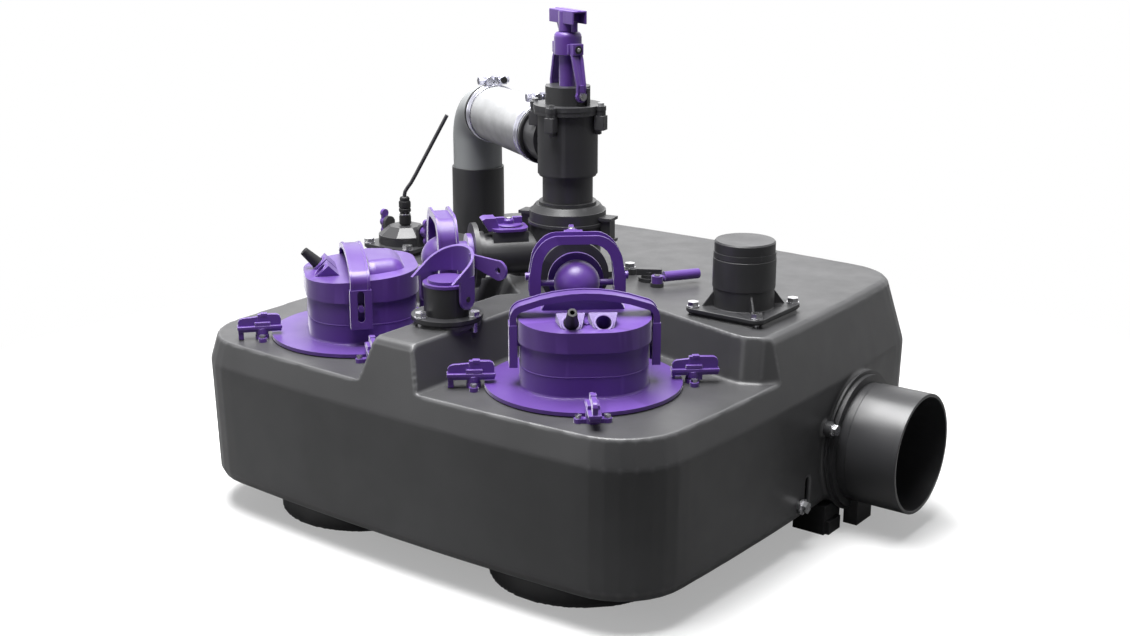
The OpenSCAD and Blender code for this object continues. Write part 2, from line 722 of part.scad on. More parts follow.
// Dome over the upper bearing and terminal space, behind the strap
dome_x0 = bail_off + bail_w / 2 + 3.5;
dome_r = 22;
dome_rise = 15;
module dome(d) {
  difference() {
    hull() for (p = [[14, 30], [36, 25]]) for (t = [-1, 1]) {
      translate([p[0], t * p[1], cap_top_z + 5.4 + dome_rise - dome_r]) sphere(r = dome_r - d, $fn = 40);
    }
    translate([dome_x0 + d - 100, -100, cap_top_z - 60]) cube([100, 200, 100]);
  }
}
module motor_cap(s) {
  color(purple) at_pump(s) difference() {
    union() {
      difference() {
        cap_solid(0, 0);
        cap_solid(-casing_wall, 4);
      }
      dome(0);
      for (t = [-1, 1]) at_gland(t) translate([0, 0, -34]) linear_extrude(40) gland_outline();
      rod(housing_top_z + 4, cap_top_z + 2, shaft_r + 6);
    }
    translate([0, 0, housing_top_z - 60]) linear_extrude(60) casing_plan(10);
    dome(3);
    for (t = [-1, 1]) at_gland(t) translate([0, 0, -30]) cylinder(h = 40, r = gland_bore_r);
    rod(housing_top_z, cap_top_z - 4, shaft_r + fit);
    rod(housing_top_z - 1, housing_top_z + 4, casing_r - 5);
  }
}
// Rubber boots in the first gland of each cap
module cable_boots() {
  color(black) for (s = [-1, 1]) at_pump(s) at_gland(s) difference() {
    union() {
      translate([0, 0, -8]) cylinder(h = 14, r = gland_bore_r - 0.1);
      translate([0, 0, 6 - eps]) cylinder(h = 26, r1 = gland_bore_r - 0.8, r2 = gland_bore_r - 3.2);
    }
    translate([0, 0, -9]) cylinder(h = 50, r = 2.6);
  }
}

// Lifting bail: strap over the cap with a slotted leg each side
bail_shoulder_z = 322;
leg_in = casing_half_y + cap_lip + leg_play;
bail_half = leg_in + leg_d;
slot_top_z = 321;
slot_r = guide_pin_r + 0.5;
slot_bottom_z = guide_pin_z - slot_r - bail_travel;
function arc_pts(cx, cy, r, a0, a1, n) = [for (i = [0:n]) let (t = a0 + (a1 - a0) * i / n)
  [cx + r * cos(t), cy + r * sin(t)]];
// Outer edge of the strap, across the bearing; inset by d
function strap_edge(d) =
  let (h = bail_half - d, r = 18 - d, top = bail_top_z - d, side_top = 347 - d)
  let (right = arc_pts(h - r, side_top - r, r, 0, 72, 6))
  let (crown = [for (i = [1:7]) let (u = 1 - i / 4) [u * (h - r), top - (top - side_top - 1) * u * u]])
  concat([[h, bail_foot_z]], right, crown,
    [for (i = [6:-1:0]) [-right[i][0], right[i][1]]], [[-h, bail_foot_z]]);
module strap_plan(d0, d1) {
  difference() {
    polygon(strap_edge(d0));
    polygon(concat([[bail_half - d1, bail_foot_z - 5]], strap_edge(d1), [[d1 - bail_half, bail_foot_z - 5]]));
  }
}
module across(x0, w) {
  translate([x0 + w / 2, 0, 0]) rotate([90, 0, 90]) translate([0, 0, -w / 2]) linear_extrude(w) children();
}
module pump_bail(s) {
  color(purple) at_pump(s) translate([bail_off, 0, 0]) difference() {
    union() {
      across(-bail_w / 2 + 3, bail_w - 6) strap_plan(1.5, bail_t);
      for (t = [-1, 1]) across(t * (bail_w / 2 - 1.5) - 1.5, 3) strap_plan(0, bail_t + 1.5);
      // Slotted legs: wider guide plates below the shoulder
      for (t = [-1, 1]) translate([-bail_w / 2 - 1.5, t > 0 ? leg_in : -bail_half - 1, bail_foot_z]) {
        cube([bail_w + 3, bail_half + 1 - leg_in, bail_shoulder_z - bail_foot_z]);
      }
    }
    for (t = [-1, 1]) translate([-bail_w / 2 + 3, t > 0 ? leg_in - 1 : -bail_half + 4, bail_foot_z - 1]) {
      cube([bail_w - 6, bail_half - 3 - leg_in, bail_shoulder_z - bail_foot_z - 4]);
    }
    for (t = [-1, 1]) {
      mirror([0, t < 0 ? 1 : 0, 0]) {
        bar_y(leg_in - 5, bail_half + 5, slot_r, slot_bottom_z + slot_r);
        bar_y(leg_in - 5, bail_half + 5, slot_r, slot_top_z - slot_r);
        translate([-slot_r, leg_in - 5, slot_bottom_z + slot_r]) {
          cube([2 * slot_r, leg_d + 10, slot_top_z - slot_bottom_z - 2 * slot_r]);
        }
      }
    }
  }
}

// Wing clamp: x outwards from the pump axis, pivot at the origin
toe_r = 25.5;
heel_r = 31;
sweep_r = 22.5;
module wing_clamp(s, i) {
  color(purple) at_clamp(s, i) difference() {
    union() {
      translate([0, wing_t / 2, 0]) rotate([90, 0, 0]) linear_extrude(wing_t) polygon([
        [-toe_r, disc_top_z + gap], [-sweep_r, disc_top_z + gap], [-sweep_r, deck_z + 12.5],
        [sweep_r, deck_z + 12.5], [sweep_r, deck_z + 1.8], [heel_r, deck_z + 1.8],
        [heel_r, deck_z + wing_top - 11], [heel_r - 2, deck_z + wing_top - 7],
        [heel_r - 6, deck_z + wing_top - 5],
        [7, deck_z + wing_top - 2], [-toe_r + 3, deck_z + wing_top + 1], [-toe_r, deck_z + wing_top - 3]]);
      // Thumb ledge along both faces of the wing
      translate([2, 0, deck_z + 19]) rotate([0, 7, 0]) cube([56, 10, 3], center = true);
      rod(disc_top_z + gap, deck_z + 22, 8.5);
    }
    rod(deck_z, deck_z + 17, clamp_stud_r + fit);
  }
}
module clamp_bases() {
  color(purple) for (s = [-1, 1]) for (i = [0:3]) at_clamp(s, i) difference() {
    union() {
      rod(deck_z, disc_top_z, clamp_boss_r);
      translate([-4.5, -clamp_screw_off, deck_z]) cube([9, 2 * clamp_screw_off, disc_top_z - deck_z - 1]);
      for (t = [-1, 1]) translate([0, t * clamp_screw_off, 0]) rod(deck_z, disc_top_z - 1, 5.5);
      rod(disc_top_z - 1, deck_z + 16, clamp_stud_r);
    }
    for (t = [-1, 1]) translate([0, t * clamp_screw_off, 0]) rod(deck_z - 1, disc_top_z, screw_hole);
  }
}
module clamp_screws() {
  color(steel) for (s = [-1, 1]) for (i = [0:3]) for (t = [-1, 1]) at_clamp(s, i) {
    translate([0, t * clamp_screw_off, 0]) {
      rod(disc_top_z - 1, disc_top_z + 3, 7.5 / sqrt(3), $fn = 6);
      rod(deck_z - 12, disc_top_z, screw_r);
    }
  }
}

// Check valve: ball chamber with socket for the riser and outlet flange
outlet_r = 20;
flange_x = 143;
chamber_bore_r = chamber_r - 4;
ring_flange_r = 35.5;
module turned_x() { rotate([0, 90, 0]) rotate_extrude() children(); }
module right_half() { intersection() { translate([0, -100]) square([100, 300]); children(); } }
module check_housing(s) {
  color(purple) at_pump(s) difference() {
    union() {
      translate([chamber_off, 0, outlet_z]) turned_x() right_half() {
        circle(chamber_r);
        square([outlet_r, flange_x + 7 - chamber_off]);
        translate([0, 13]) square([ring_flange_r, 5.5]);
        translate([0, flange_x - chamber_off]) square([30, 7]);
      }
      translate([riser_off, 0, 0]) rod(riser_top_z - 10, outlet_z - 14, riser_r + 2.7);
      for (t = [-1, 1]) translate([chamber_off, 0, 0]) {
        bar_y(t > 0 ? chamber_bore_r + 1 : -arch_pin, t > 0 ? arch_pin : -chamber_bore_r - 1,
          bail_pin_r, outlet_z);
      }
    }
    translate([chamber_off, 0, outlet_z]) turned_x() right_half() {
      circle(chamber_bore_r);
      square([outlet_r - 5, flange_x + 8 - chamber_off]);
    }
    translate([riser_off, 0, 0]) {
      rod(riser_top_z - 11, riser_top_z + 1, riser_r + gap);
      rod(riser_top_z, outlet_z - 8, riser_bore_r);
    }
  }
}
module check_ball(s) {
  drop = chamber_bore_r - ball_r - gap;
  color(black) at_pump(s) translate([chamber_off, 0, outlet_z - drop]) sphere(ball_r);
}

// Release bail over the ball chamber, hinged on its two pins
arch_in = 46;
arch_out = 56;
arch_pin = 58;
arch_half = [[arch_out, -13], [arch_out, 8], [52, 33], [50, 38.5], [46.5, 44.5], [42, 50], [36.5, 54.5],
  [30, 57.5], [24, 58.5]];
arch_inner = [[arch_in, -13], [arch_in, 12], [44, 28], [41, 37], [37, 43.5], [31, 48.5], [25, 51.5],
  [19, 52.5]];
function both_sides(p) = concat(p, [for (i = [len(p) - 1:-1:0]) [-p[i][0], p[i][1]]]);
function grown(p, d) = [for (q = p) let (k = 1 + d / norm([q[0], max(q[1], 0)]))
  [q[0] * k, q[1] > 0 ? q[1] * k : q[1]]];
module release_bail(s) {
  color(purple) at_pump(s) translate([chamber_off, 0, outlet_z]) difference() {
    union() {
      across(-arch_w / 2, arch_w) difference() {
        polygon(both_sides(arch_half));
        polygon(both_sides(concat([[arch_in, -20]], arch_inner)));
      }
      for (t = [-1, 1]) across(t * (arch_w / 2 - 1.5) - 1.5, 3) difference() {
        polygon(both_sides(grown(arch_half, 5)));
        polygon(both_sides(concat([[arch_in, -20]], arch_inner)));
      }
      for (t = [-1, 1]) {
        bar_y(t > 0 ? arch_out - 1 : -arch_out - 9, t > 0 ? arch_out + 9 : -arch_out + 1, 5, 9);
      }
    }
    bar_y(-arch_pin - 1, arch_pin + 1, bail_pin_r + fit, 0);
  }
}

// Collector: hub with two branches, mounting lugs and access ports
lug_top_z = top_z + 8;
branch_end = branch_len - flange_x - 7;
port_x = 82;
port_z = 372;
module collector() {
  color(dark) difference() {
    union() {
      at_valve() {
        rod(top_z, hub_top_z, hub_r);
        rod(hub_top_z - eps, hub_top_z + 22, neck_r + 5);
        for (p = collector_lugs) {
          translate([p[0], p[1], 0]) rod(top_z, lug_top_z, 12);
          rotate([0, 0, atan2(p[1], p[0])]) translate([0, -9, top_z]) cube([norm(p), 18, 8]);
        }
      }
      for (s = [-1, 1]) at_branch(s) {
        bar_x(0, branch_end - 0.4, branch_r, outlet_z);
        bar_x(branch_end - 7, branch_end - 0.4, 44, outlet_z);
        bar_x(branch_end - 16, branch_end - 6, 32, outlet_z);
        translate([port_x - 24, -20, outlet_z]) cube([48, 40, port_z - outlet_z]);
      }
    }
    at_valve() rod(outlet_z - 20, hub_top_z + 30, neck_r - 5);
    for (s = [-1, 1]) at_branch(s) {
      bar_x(0, branch_end + 1, branch_bore_r, outlet_z);
      translate([port_x, 0, 0]) rod(outlet_z, port_z + 1, 15);
    }
    at_valve() for (p = collector_lugs) translate([p[0], p[1], 0]) rod(top_z - 1, lug_top_z + 1, bolt_hole);
    // Flat underside where a flange would dip into the tank top
    at_valve() translate([-200, -200, top_z - 60]) cube([400, 400, 60]);
  }
}

// Inspection covers on the two branches
cover_plate_t = 5;
lock_z = port_z + cover_plate_t + gap;
module access_covers() {
  color(purple) for (s = [-1, 1]) at_branch(s) difference() {
    union() {
      translate([port_x, 0, port_z]) round_plate(27, 23, 5, cover_plate_t);
      translate([port_x, 0, 0]) rod(port_z - 12, port_z + 1, 14.7);
      translate([port_x, 0, 0]) rod(port_z, lock_z + 9, 3.5);
      // Raised grip at the outer end
      translate([port_x + 20, 23, port_z]) rotate([90, 0, 0]) linear_extrude(46) {
        polygon([[0, 0], [7, 0], [19, 15], [11, 17]]);
      }
    }
  }
}
module cover_lock(s) {
  color(purple) at_branch(s) translate([port_x, 0, 0]) difference() {
    union() {
      rod(lock_z, lock_z + 3.5, 19);
      rod(lock_z, lock_z + 11, 8);
      for (i = [0:2]) rotate([0, 0, 30 + i * 120]) translate([5, -3, lock_z + 2]) cube([12.5, 6, 9]);
    }
    rod(lock_z - 1, lock_z + 9.3, 3.5 + fit);
  }
}

// Two-part collar that holds the valve neck on the collector
collar_lug_turn = 12;
module split_collar() {
  color(dark) at_valve() difference() {
    union() {
      rod(hub_top_z + gap, collar_top_z - 8, collar_r);
      translate([0, 0, collar_top_z - 8 - eps]) cylinder(h = 8, r1 = collar_r - 2, r2 = collar_r - 8);
      rod(hub_top_z + 26, hub_top_z + 30, collar_r + 2);
      for (t = [0, 180]) rotate([0, 0, collar_lug_turn + t]) {
        translate([collar_r - 6, -9, hub_top_z + 4]) cube([20, 18, 34]);
        translate([collar_r - 6, -12, hub_top_z + 4]) cube([23, 24, 4]);
        translate([collar_r - 6, -12, hub_top_z + 34]) cube([23, 24, 4]);
      }
    }
    rod(hub_top_z, hub_top_z + 23, neck_r + 5 + gap);
    rod(hub_top_z + 22, collar_top_z + 1, neck_r + gap);
    for (s = [-1, 1]) mirror([s < 0 ? 1 : 0, 0, 0]) rotate([0, 0, branch_bearing]) {
      bar_x(0, 90, branch_r + gap, outlet_z);
      translate([port_x - 24 - gap, -26, outlet_z]) cube([60, 52, port_z + 8 - outlet_z]);
    }
  }
}

// Valve body: neck, drum, side spigot towards the hose
body_bolt_turn = 10;
body_bolt_r = 49;
bonnet_z = body_top_z + 6;
bonnet_flange_t = 6;
plug_r = 31;
spigot_end = 118;
module valve_body() {
  color(dark) at_valve() difference() {
    union() {
      rod(hub_top_z + 23, body_z + 4, neck_r);
      rod(body_z, body_top_z + 6, body_r);
      rod(body_top_z, body_top_z + 6, body_r + 5);
      rod(body_z - 3, body_z + 6, body_r - 2);
      rod(collar_top_z + gap, collar_top_z + 4, neck_r + 5);
      for (i = [0:3]) rotate([0, 0, body_bolt_turn + i * 90]) translate([body_bolt_r, 0, 0]) {
        rod(body_top_z - 10, body_top_z + 6, 6.5);
      }
      rotate([0, 0, hose_bearing]) bar_x(body_r - 10, spigot_end, line_r, hose_z);
    }
    rod(hub_top_z, body_z + 20, neck_r - 5);
    rod(body_z + 6, bonnet_z + 1, plug_r + 0.5);
    rotate([0, 0, hose_bearing]) bar_x(0, spigot_end + 1, line_r - 6, hose_z);
    for (i = [0:3]) rotate([0, 0, body_bolt_turn + i * 90]) translate([body_bolt_r, 0, 0]) {
      rod(body_top_z - 17, body_top_z + 7, screw_hole);
    }
  }
}
module valve_bonnet() {
  color(dark) at_valve() difference() {
    union() {
      rod(bonnet_z, bonnet_z + bonnet_flange_t, body_r + 5.5);
      for (i = [0:3]) rotate([0, 0, body_bolt_turn + i * 90]) translate([body_bolt_r, 0, 0]) {
        rod(bonnet_z, bonnet_z + bonnet_flange_t, 7);
      }
      rod(bonnet_z, bonnet_z + 30, bonnet_r);
      for (t = [0, 180]) rotate([0, 0, handle_bearing + t]) {
        translate([bonnet_r - 4, 9.5, bonnet_z + 2]) cube([8, 4, 27]);
      }
    }
    for (t = [0, 180]) rotate([0, 0, handle_bearing + t]) {
      bar_x(bonnet_r - 9, bonnet_r + 9, screw_hole, yoke_eye_z);
    }
    rod(bonnet_z - 1, bonnet_z + 31, stem_r + fit);
    for (i = [0:3]) rotate([0, 0, body_bolt_turn + i * 90]) translate([body_bolt_r, 0, 0]) {
      rod(bonnet_z - 1, bonnet_z + bonnet_flange_t + 1, screw_hole);
    }
  }
}
// Stem with its slotted plug below and the T handle on top
handle_bearing = -22;
sleeve_z0 = 604;
sleeve_z1 = 634;
module valve_stem() {
  color(purple) at_valve() difference() {
    union() {
      rod(body_top_z - 10, handle_top_z - 16, stem_r);
      rod(body_z + 10, bonnet_z - 1, plug_r);
      rotate([0, 0, handle_bearing]) {
        translate([-30, -11, handle_top_z - 18]) cube([60, 22, 18]);
        translate([-14, -9, sleeve_z1 + gap]) cube([28, 18, handle_top_z - sleeve_z1 - 10]);
      }
    }
    // Hollow grip and waterway through the plug
    rotate([0, 0, handle_bearing]) for (x = [-31, 16]) {
      translate([x, -8, handle_top_z - 19]) cube([15, 16, 16]);
    }
    rotate([0, 0, hose_bearing]) bar_x(0, plug_r + 1, line_r - 8, hose_z);
    rod(body_z, hose_z, neck_r - 7);
  }
}
// Yoke: sleeve round the stem, two curved legs pinned to the bonnet
yoke_eye_z = 552;
yoke_eye_x = bonnet_r + 1;
leg_t = 5;
leg_pts = [[yoke_eye_x, yoke_eye_z], [yoke_eye_x + leg_t, yoke_eye_z],
  [yoke_eye_x + leg_t, yoke_eye_z + 10], [27, sleeve_z0 - 8], [25, sleeve_z0 + 4],
  [18, sleeve_z0 + 6], [18, sleeve_z0], [yoke_eye_x, yoke_eye_z + 12]];
module valve_yoke() {
  color(purple) at_valve() difference() {
    union() {
      rod(sleeve_z0, sleeve_z1 - 4, 18.5);
      translate([0, 0, sleeve_z1 - 4 - eps]) cylinder(h = 4, r1 = 18.5, r2 = 16);
      for (t = [0, 180]) rotate([0, 0, handle_bearing + t]) {
        translate([0, 7, 0]) rotate([90, 0, 0]) linear_extrude(14) polygon(leg_pts);
        bar_x(yoke_eye_x, yoke_eye_x + leg_t, 8, yoke_eye_z);
        translate([12, -8, sleeve_z0 + 1]) cube([14, 16, 13]);
      }
    }
    rod(sleeve_z0 - 1, sleeve_z1 + 1, stem_r + fit);
    for (t = [0, 180]) rotate([0, 0, handle_bearing + t]) {
      bar_x(yoke_eye_x - 1, yoke_eye_x + leg_t + 1, screw_hole, yoke_eye_z);
    }
  }
}

// Flexible connection with its two worm-drive clamps
hose_x0 = spigot_end - 46;
hose_x1 = hose_reach - 62;
module at_line() { at_valve() rotate([0, 0, hose_bearing]) translate([0, 0, hose_z]) children(); }
module hose() {
  color(grey) at_line() difference() {
    bar_x(hose_x0, hose_x1, line_r + hose_wall + gap);
    bar_x(hose_x0 - 1, hose_x1 + 1, line_r + gap);
  }
}
module hose_clamps() {
  color(steel) at_line() for (x = [hose_x0 + 12, hose_x1 - 12]) {
    difference() {
      bar_x(x - 6, x + 6, line_r + hose_wall + 1.6);
      bar_x(x - 7, x + 7, line_r + hose_wall + gap + 0.05);
    }
    translate([x, 0, line_r + hose_wall + 5]) {
      cube([11, 20, 7.5], center = true);
      bar_y(-22, 18, 5.2, 2.5);
    }
  }
}
// Grey elbow: spigot in the hose, bend, spigot in the riser pipe
module elbow_run(r) {
  bar_x(hose_reach - 96, hose_reach - elbow_bend, r);
  translate([hose_reach - elbow_bend, 0, -elbow_bend]) rotate([90, 0, 0]) {
    rotate_extrude(angle = 90) translate([elbow_bend, 0]) circle(r);
  }
  translate([hose_reach, 0, 0]) rod(elbow_foot_z - hose_z - 36, -elbow_bend, r);
}
module elbow() {
  color(grey) at_line() difference() {
    elbow_run(line_r);
    elbow_run(line_r - line_wall);
  }
}
module riser_pipe() {
  color(dark) at_tank() translate([riser_x, riser_y, 0]) difference() {
    rod(socket_z + gap, elbow_foot_z, pipe_r);
    rod(socket_z, elbow_foot_z + 1, line_r - 3);
    rod(elbow_foot_z - 38, elbow_foot_z + 1, line_r + gap);
  }
}

// Level sensor: ring on a square plate, domed lid, gland and signal tube
ring_z1 = plate_gap_z + 15;
dome_top_z = ring_z1 + 16;
module sensor_base() {
  color(dark) at_tank() translate([sensor_x, sensor_y, 0]) difference() {
    union() {
      translate([0, 0, plate_gap_z]) round_plate(sensor_plate, sensor_plate, 13, 5);
      rod(plate_gap_z, ring_z1, sensor_r);
      // Dip pipe that carries the level sensing bell
      rod(150, plate_gap_z + 1, 20);
      // Ears beside the lid, each with a stud for its wing nut
      for (t = [0, 180]) rotate([0, 0, sensor_wing_turn + t]) {
        translate([ear_in, -ear_half, plate_gap_z + 4]) cube([ear_t, 2 * ear_half, wing_axis_z - plate_gap_z]);
        bar_x(ear_in, ear_in + ear_t, ear_half, wing_axis_z + 1);
        bar_x(ear_in + 1, ear_in + ear_t + 12, 3, wing_axis_z);
      }
    }
    rod(149, ring_z1 + 1, 16);
    for (a = [-1, 1]) for (b = [-1, 1]) translate([a * sensor_bolt, b * sensor_bolt, 0]) {
      rod(plate_gap_z - 1, plate_gap_z + 6, bolt_hole);
    }
  }
}
sensor_wing_turn = -10;
ear_in = sensor_r - 2.5;
ear_t = 6;
ear_half = 9;
wing_axis_z = ring_z1 + 12;
gland_top_z = 375;
module sensor_dome() {
  color(dark) at_tank() translate([sensor_x, sensor_y, 0]) difference() {
    union() {
      rod(ring_z1 + gap, ring_z1 + 3, sensor_r);
      translate([0, 0, ring_z1 + 3 - eps]) rotate([0, 0, 22.5]) {
        cylinder(h = 12, r1 = sensor_r - 0.5, r2 = 24, $fn = 8);
      }
      rod(ring_z1, dome_top_z + 12, 6.5);
      rod(dome_top_z, dome_top_z + 11, 7.5, $fn = 6);
      rod(dome_top_z + 13, gland_top_z - 8, 6.5);
      rod(dome_top_z + 11.9, dome_top_z + 13.1, 5.5);
      translate([0, 0, gland_top_z - 8 - eps]) cylinder(h = 8, r1 = 6.5, r2 = 4.5);
    }
    rod(ring_z1 + 3, dome_top_z - 4, 14);
    rod(ring_z1, gland_top_z + 1, tube_r + 0.1);
    for (t = [0, 180]) rotate([0, 0, sensor_wing_turn + t]) {
      translate([ear_in - gap, -ear_half - gap, ring_z1]) cube([20, 2 * ear_half + 2 * gap, 30]);
    }
  }
}
// Route of the signal tube, from the gland: up, then leaning back to its bare end
tube_route = [[0, 0, 0], [0, 0, 8], [0.8, 0.6, 13], [3.5, 2.6, 18.5], [8, 6, 26], [14, 10.5, 39],
  [21, 15.7, 55], [28, 21, 71], [35, 26.2, 87], [42, 31.5, 103], [49, 36.7, 119], [52, 39, 126]];
function unit(v) = v / norm(v);
function ring_at(path, i, r, n) =
  let (a = path[max(i - 1, 0)], b = path[min(i + 1, len(path) - 1)])
  let (t = unit(b - a), u = unit(cross(t, [-0.6, 0.8, 0])), v = cross(t, u))
  [for (k = [0:n - 1]) path[i] + r * cos(360 * k / n) * u + r * sin(360 * k / n) * v];
module swept(path, r, n) {
  rings = [for (i = [0:len(path) - 1]) ring_at(path, i, r, n)];
  pts = [for (q = rings) each q];
  m = len(path);
  sides = [for (i = [0:m - 2]) for (k = [0:n - 1]) let (k2 = (k + 1) % n) each [
    [i * n + k, (i + 1) * n + k2, i * n + k2], [i * n + k, (i + 1) * n + k, (i + 1) * n + k2]]];
  polyhedron(pts, concat([[for (k = [0:n - 1]) k]], sides, [[for (k = [n - 1:-1:0]) (m - 1) * n + k]]));
}
module sensor_tube() {
  color(black) at_tank() translate([sensor_x, sensor_y, gland_top_z - 6]) swept(tube_route, tube_r, 10);
}
// Wing nuts of the sensor lid
module sensor_wing(t) {
  x0 = ear_in + ear_t + gap;
  color(purple) at_tank() translate([sensor_x, sensor_y, 0]) rotate([0, 0, sensor_wing_turn + t]) {
    difference() {
      union() {
        bar_x(x0, x0 + 10, 7, wing_axis_z);
        translate([x0 + 5, 0, wing_axis_z]) rotate([90, 0, 90]) linear_extrude(5) union() {
          for (u = [-1, 1]) translate([0, u * 13]) circle(6);
          square([9, 26], center = true);
        }
      }
      bar_x(x0 - 1, x0 + 12, 3 + fit, wing_axis_z);
    }
  }
}

// Hand pump connection on the ridge
hand_cap_z = 344;
hand_play = 2.2;
hand_plate_t = 3.4;
hand_band_r = hand_r + hand_play + hand_plate_t;
module hand_pump_stub() {
  color(dark) at_tank() translate([0, -hand_y, 0]) difference() {
    union() {
      rod(plate_gap_z, plate_gap_z + 5, hand_flange_r);
      rod(plate_gap_z, hand_cap_z, hand_r);
      bar_x(-hand_band_r - 1, hand_band_r + 1, hand_pin_r, hand_pivot_z);
    }
    rod(plate_gap_z - 1, hand_cap_z + 1, hand_r - 4);
    for (i = [0:2]) rotate([0, 0, hand_bolt_turn + i * 120]) translate([hand_bolt_r, 0, 0]) {
      rod(plate_gap_z - 1, plate_gap_z + 6, bolt_hole);
    }
  }
}
module hand_pump_cap() {
  color(purple) at_tank() translate([0, -hand_y, 0]) {
    rod(hand_cap_z + gap, hand_cap_z + 4, hand_r + 0.8);
    rod(hand_cap_z + 3, hand_cap_z + 8, hand_r - 5);
    rod(hand_cap_z - 6, hand_cap_z + 1, hand_r - 4 - gap);
  }
}
// Bail: side plates on the pivots, visor band round the back of the cap, lever beside it
hand_pin_r = 3.5;
hand_plate_half = 13;
visor_reach = 28;
lever_end = [62.5, 366];
lever_r = 12.5;
module hand_pump_bail() {
  color(purple) at_tank() translate([0, -hand_y, 0]) difference() {
    union() {
      for (t = [-1, 1]) translate([t * (hand_band_r - hand_plate_t / 2) - hand_plate_t / 2, 0, 0]) {
        rotate([90, 0, 90]) linear_extrude(hand_plate_t) union() {
          translate([0, hand_pivot_z]) circle(hand_plate_half);
          translate([-hand_plate_half, hand_pivot_z]) square([2 * hand_plate_half, visor_z + 3 - hand_pivot_z]);
        }
      }
      // Band, cut off along a plane that rises to the back
      difference() {
        union() {
          rod(visor_z, visor_z + 40, hand_band_r);
          translate([-hand_band_r, -visor_reach, visor_z]) cube([2 * hand_band_r, visor_reach, 40]);
        }
        rod(visor_z - 1, visor_z + 41, hand_band_r - hand_plate_t);
        translate([hand_plate_t - hand_band_r, -visor_reach - 1, visor_z - 1]) {
          cube([2 * (hand_band_r - hand_plate_t), visor_reach + 1, 42]);
        }
        translate([-2 * hand_band_r, -visor_reach, visor_z]) rotate([visor_tilt, 0, 0]) {
          cube([4 * hand_band_r, 5 * visor_reach, 60]);
        }
        translate([-2 * hand_band_r, -visor_reach - 50, visor_z - 1]) cube([4 * hand_band_r, 50, 60]);
      }
      translate([0, visor_reach, 0]) rotate([90, 0, 0]) linear_extrude(4) union() {
        translate(lever_end) circle(lever_r);
        polygon([[16, visor_z + 26.5], [lever_end[0] + 2.5, lever_end[1] + lever_r - 0.3],
          [lever_end[0] - 5.5, lever_end[1] - lever_r + 1.3], [22, visor_z + 11.5]]);
      }
    }
    bar_x(-hand_band_r - 5, hand_band_r + 5, hand_pin_r + fit, hand_pivot_z);
    // Eye in the end of the lever
    translate([lever_end[0], visor_reach - 9, lever_end[1]]) rotate([-90, 0, 0]) cylinder(h = 20, r = 4);
  }
}

// Drain cock behind the collector, with its lever
cock_x = 90;
cock_y = 76;
module drain_cock() {
  color(black) at_tank() translate([cock_x, cock_y, 0]) {
    rod(top_z, top_z + 5, 15);
    rod(top_z + 4, top_z + 9, 11);
    translate([0, 0, top_z + 13]) rotate([0, 0, 30]) {
      cube([34, 13, 9], center = true);
      rod(-8, 0, 8);
    }
    translate([26, -20, 0]) rod(top_z, top_z + 5, 9);
    translate([26, -20, 0]) rod(top_z + 4, top_z + 16, 4);
  }
}
module drain_lever() {
  color(purple) at_tank() translate([cock_x + 26, cock_y - 20, 0]) difference() {
    union() {
      rod(top_z + 5 + gap, top_z + 15, 8);
      rotate([0, 0, 58]) {
        bar_x(10, 62, 7, top_z + 12.8);
        bar_x(0, 12, 4.2, top_z + 10.5);
      }
    }
    rod(top_z, top_z + 16, 4 + fit);
  }
}

tank_shell();
inlet_foot();
drain_plug();
inlet_pipe();
inlet_clamp_ring();
rubber_seals();
vent_spigot();
vent_cap();
flange_bolts();
pump_cover(-1);  // pump_cover_a
pump_cover(1);  // pump_cover_b
motor_housing(-1);  // motor_housing_a
motor_housing(1);  // motor_housing_b
motor_cap(-1);  // motor_cap_a
motor_cap(1);  // motor_cap_b
cable_boots();
pump_bail(-1);  // pump_bail_a
pump_bail(1);  // pump_bail_b
rotor(-1);  // rotor_a
rotor(1);  // rotor_b
stators();
wing_clamp(-1, 0);  // wing_clamp_a1
wing_clamp(-1, 1);  // wing_clamp_a2
wing_clamp(-1, 2);  // wing_clamp_a3
wing_clamp(-1, 3);  // wing_clamp_a4
wing_clamp(1, 0);  // wing_clamp_b1
wing_clamp(1, 1);  // wing_clamp_b2
wing_clamp(1, 2);  // wing_clamp_b3
wing_clamp(1, 3);  // wing_clamp_b4
clamp_bases();
clamp_screws();
check_housing(-1);  // check_housing_a
check_housing(1);  // check_housing_b
check_ball(-1);  // check_ball_a
check_ball(1);  // check_ball_b
release_bail(-1);  // release_bail_a
release_bail(1);  // release_bail_b
collector();
access_covers();
cover_lock(-1);  // cover_lock_a
cover_lock(1);  // cover_lock_b
split_collar();
valve_body();
valve_bonnet();
valve_stem();
valve_yoke();
hose();
hose_clamps();
elbow();
riser_pipe();
sensor_base();
sensor_dome();
sensor_tube();
sensor_wing(180);  // sensor_wing_l
sensor_wing(0);  // sensor_wing_r
hand_pump_stub();
hand_pump_cap();
hand_pump_bail();
drain_cock();
drain_lever();
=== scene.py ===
"""Looks of the duplex lifting station: finishes, moulded detail and signal tube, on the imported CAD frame."""

import json
import math

import bmesh
import bpy
from mathutils import Matrix, Vector


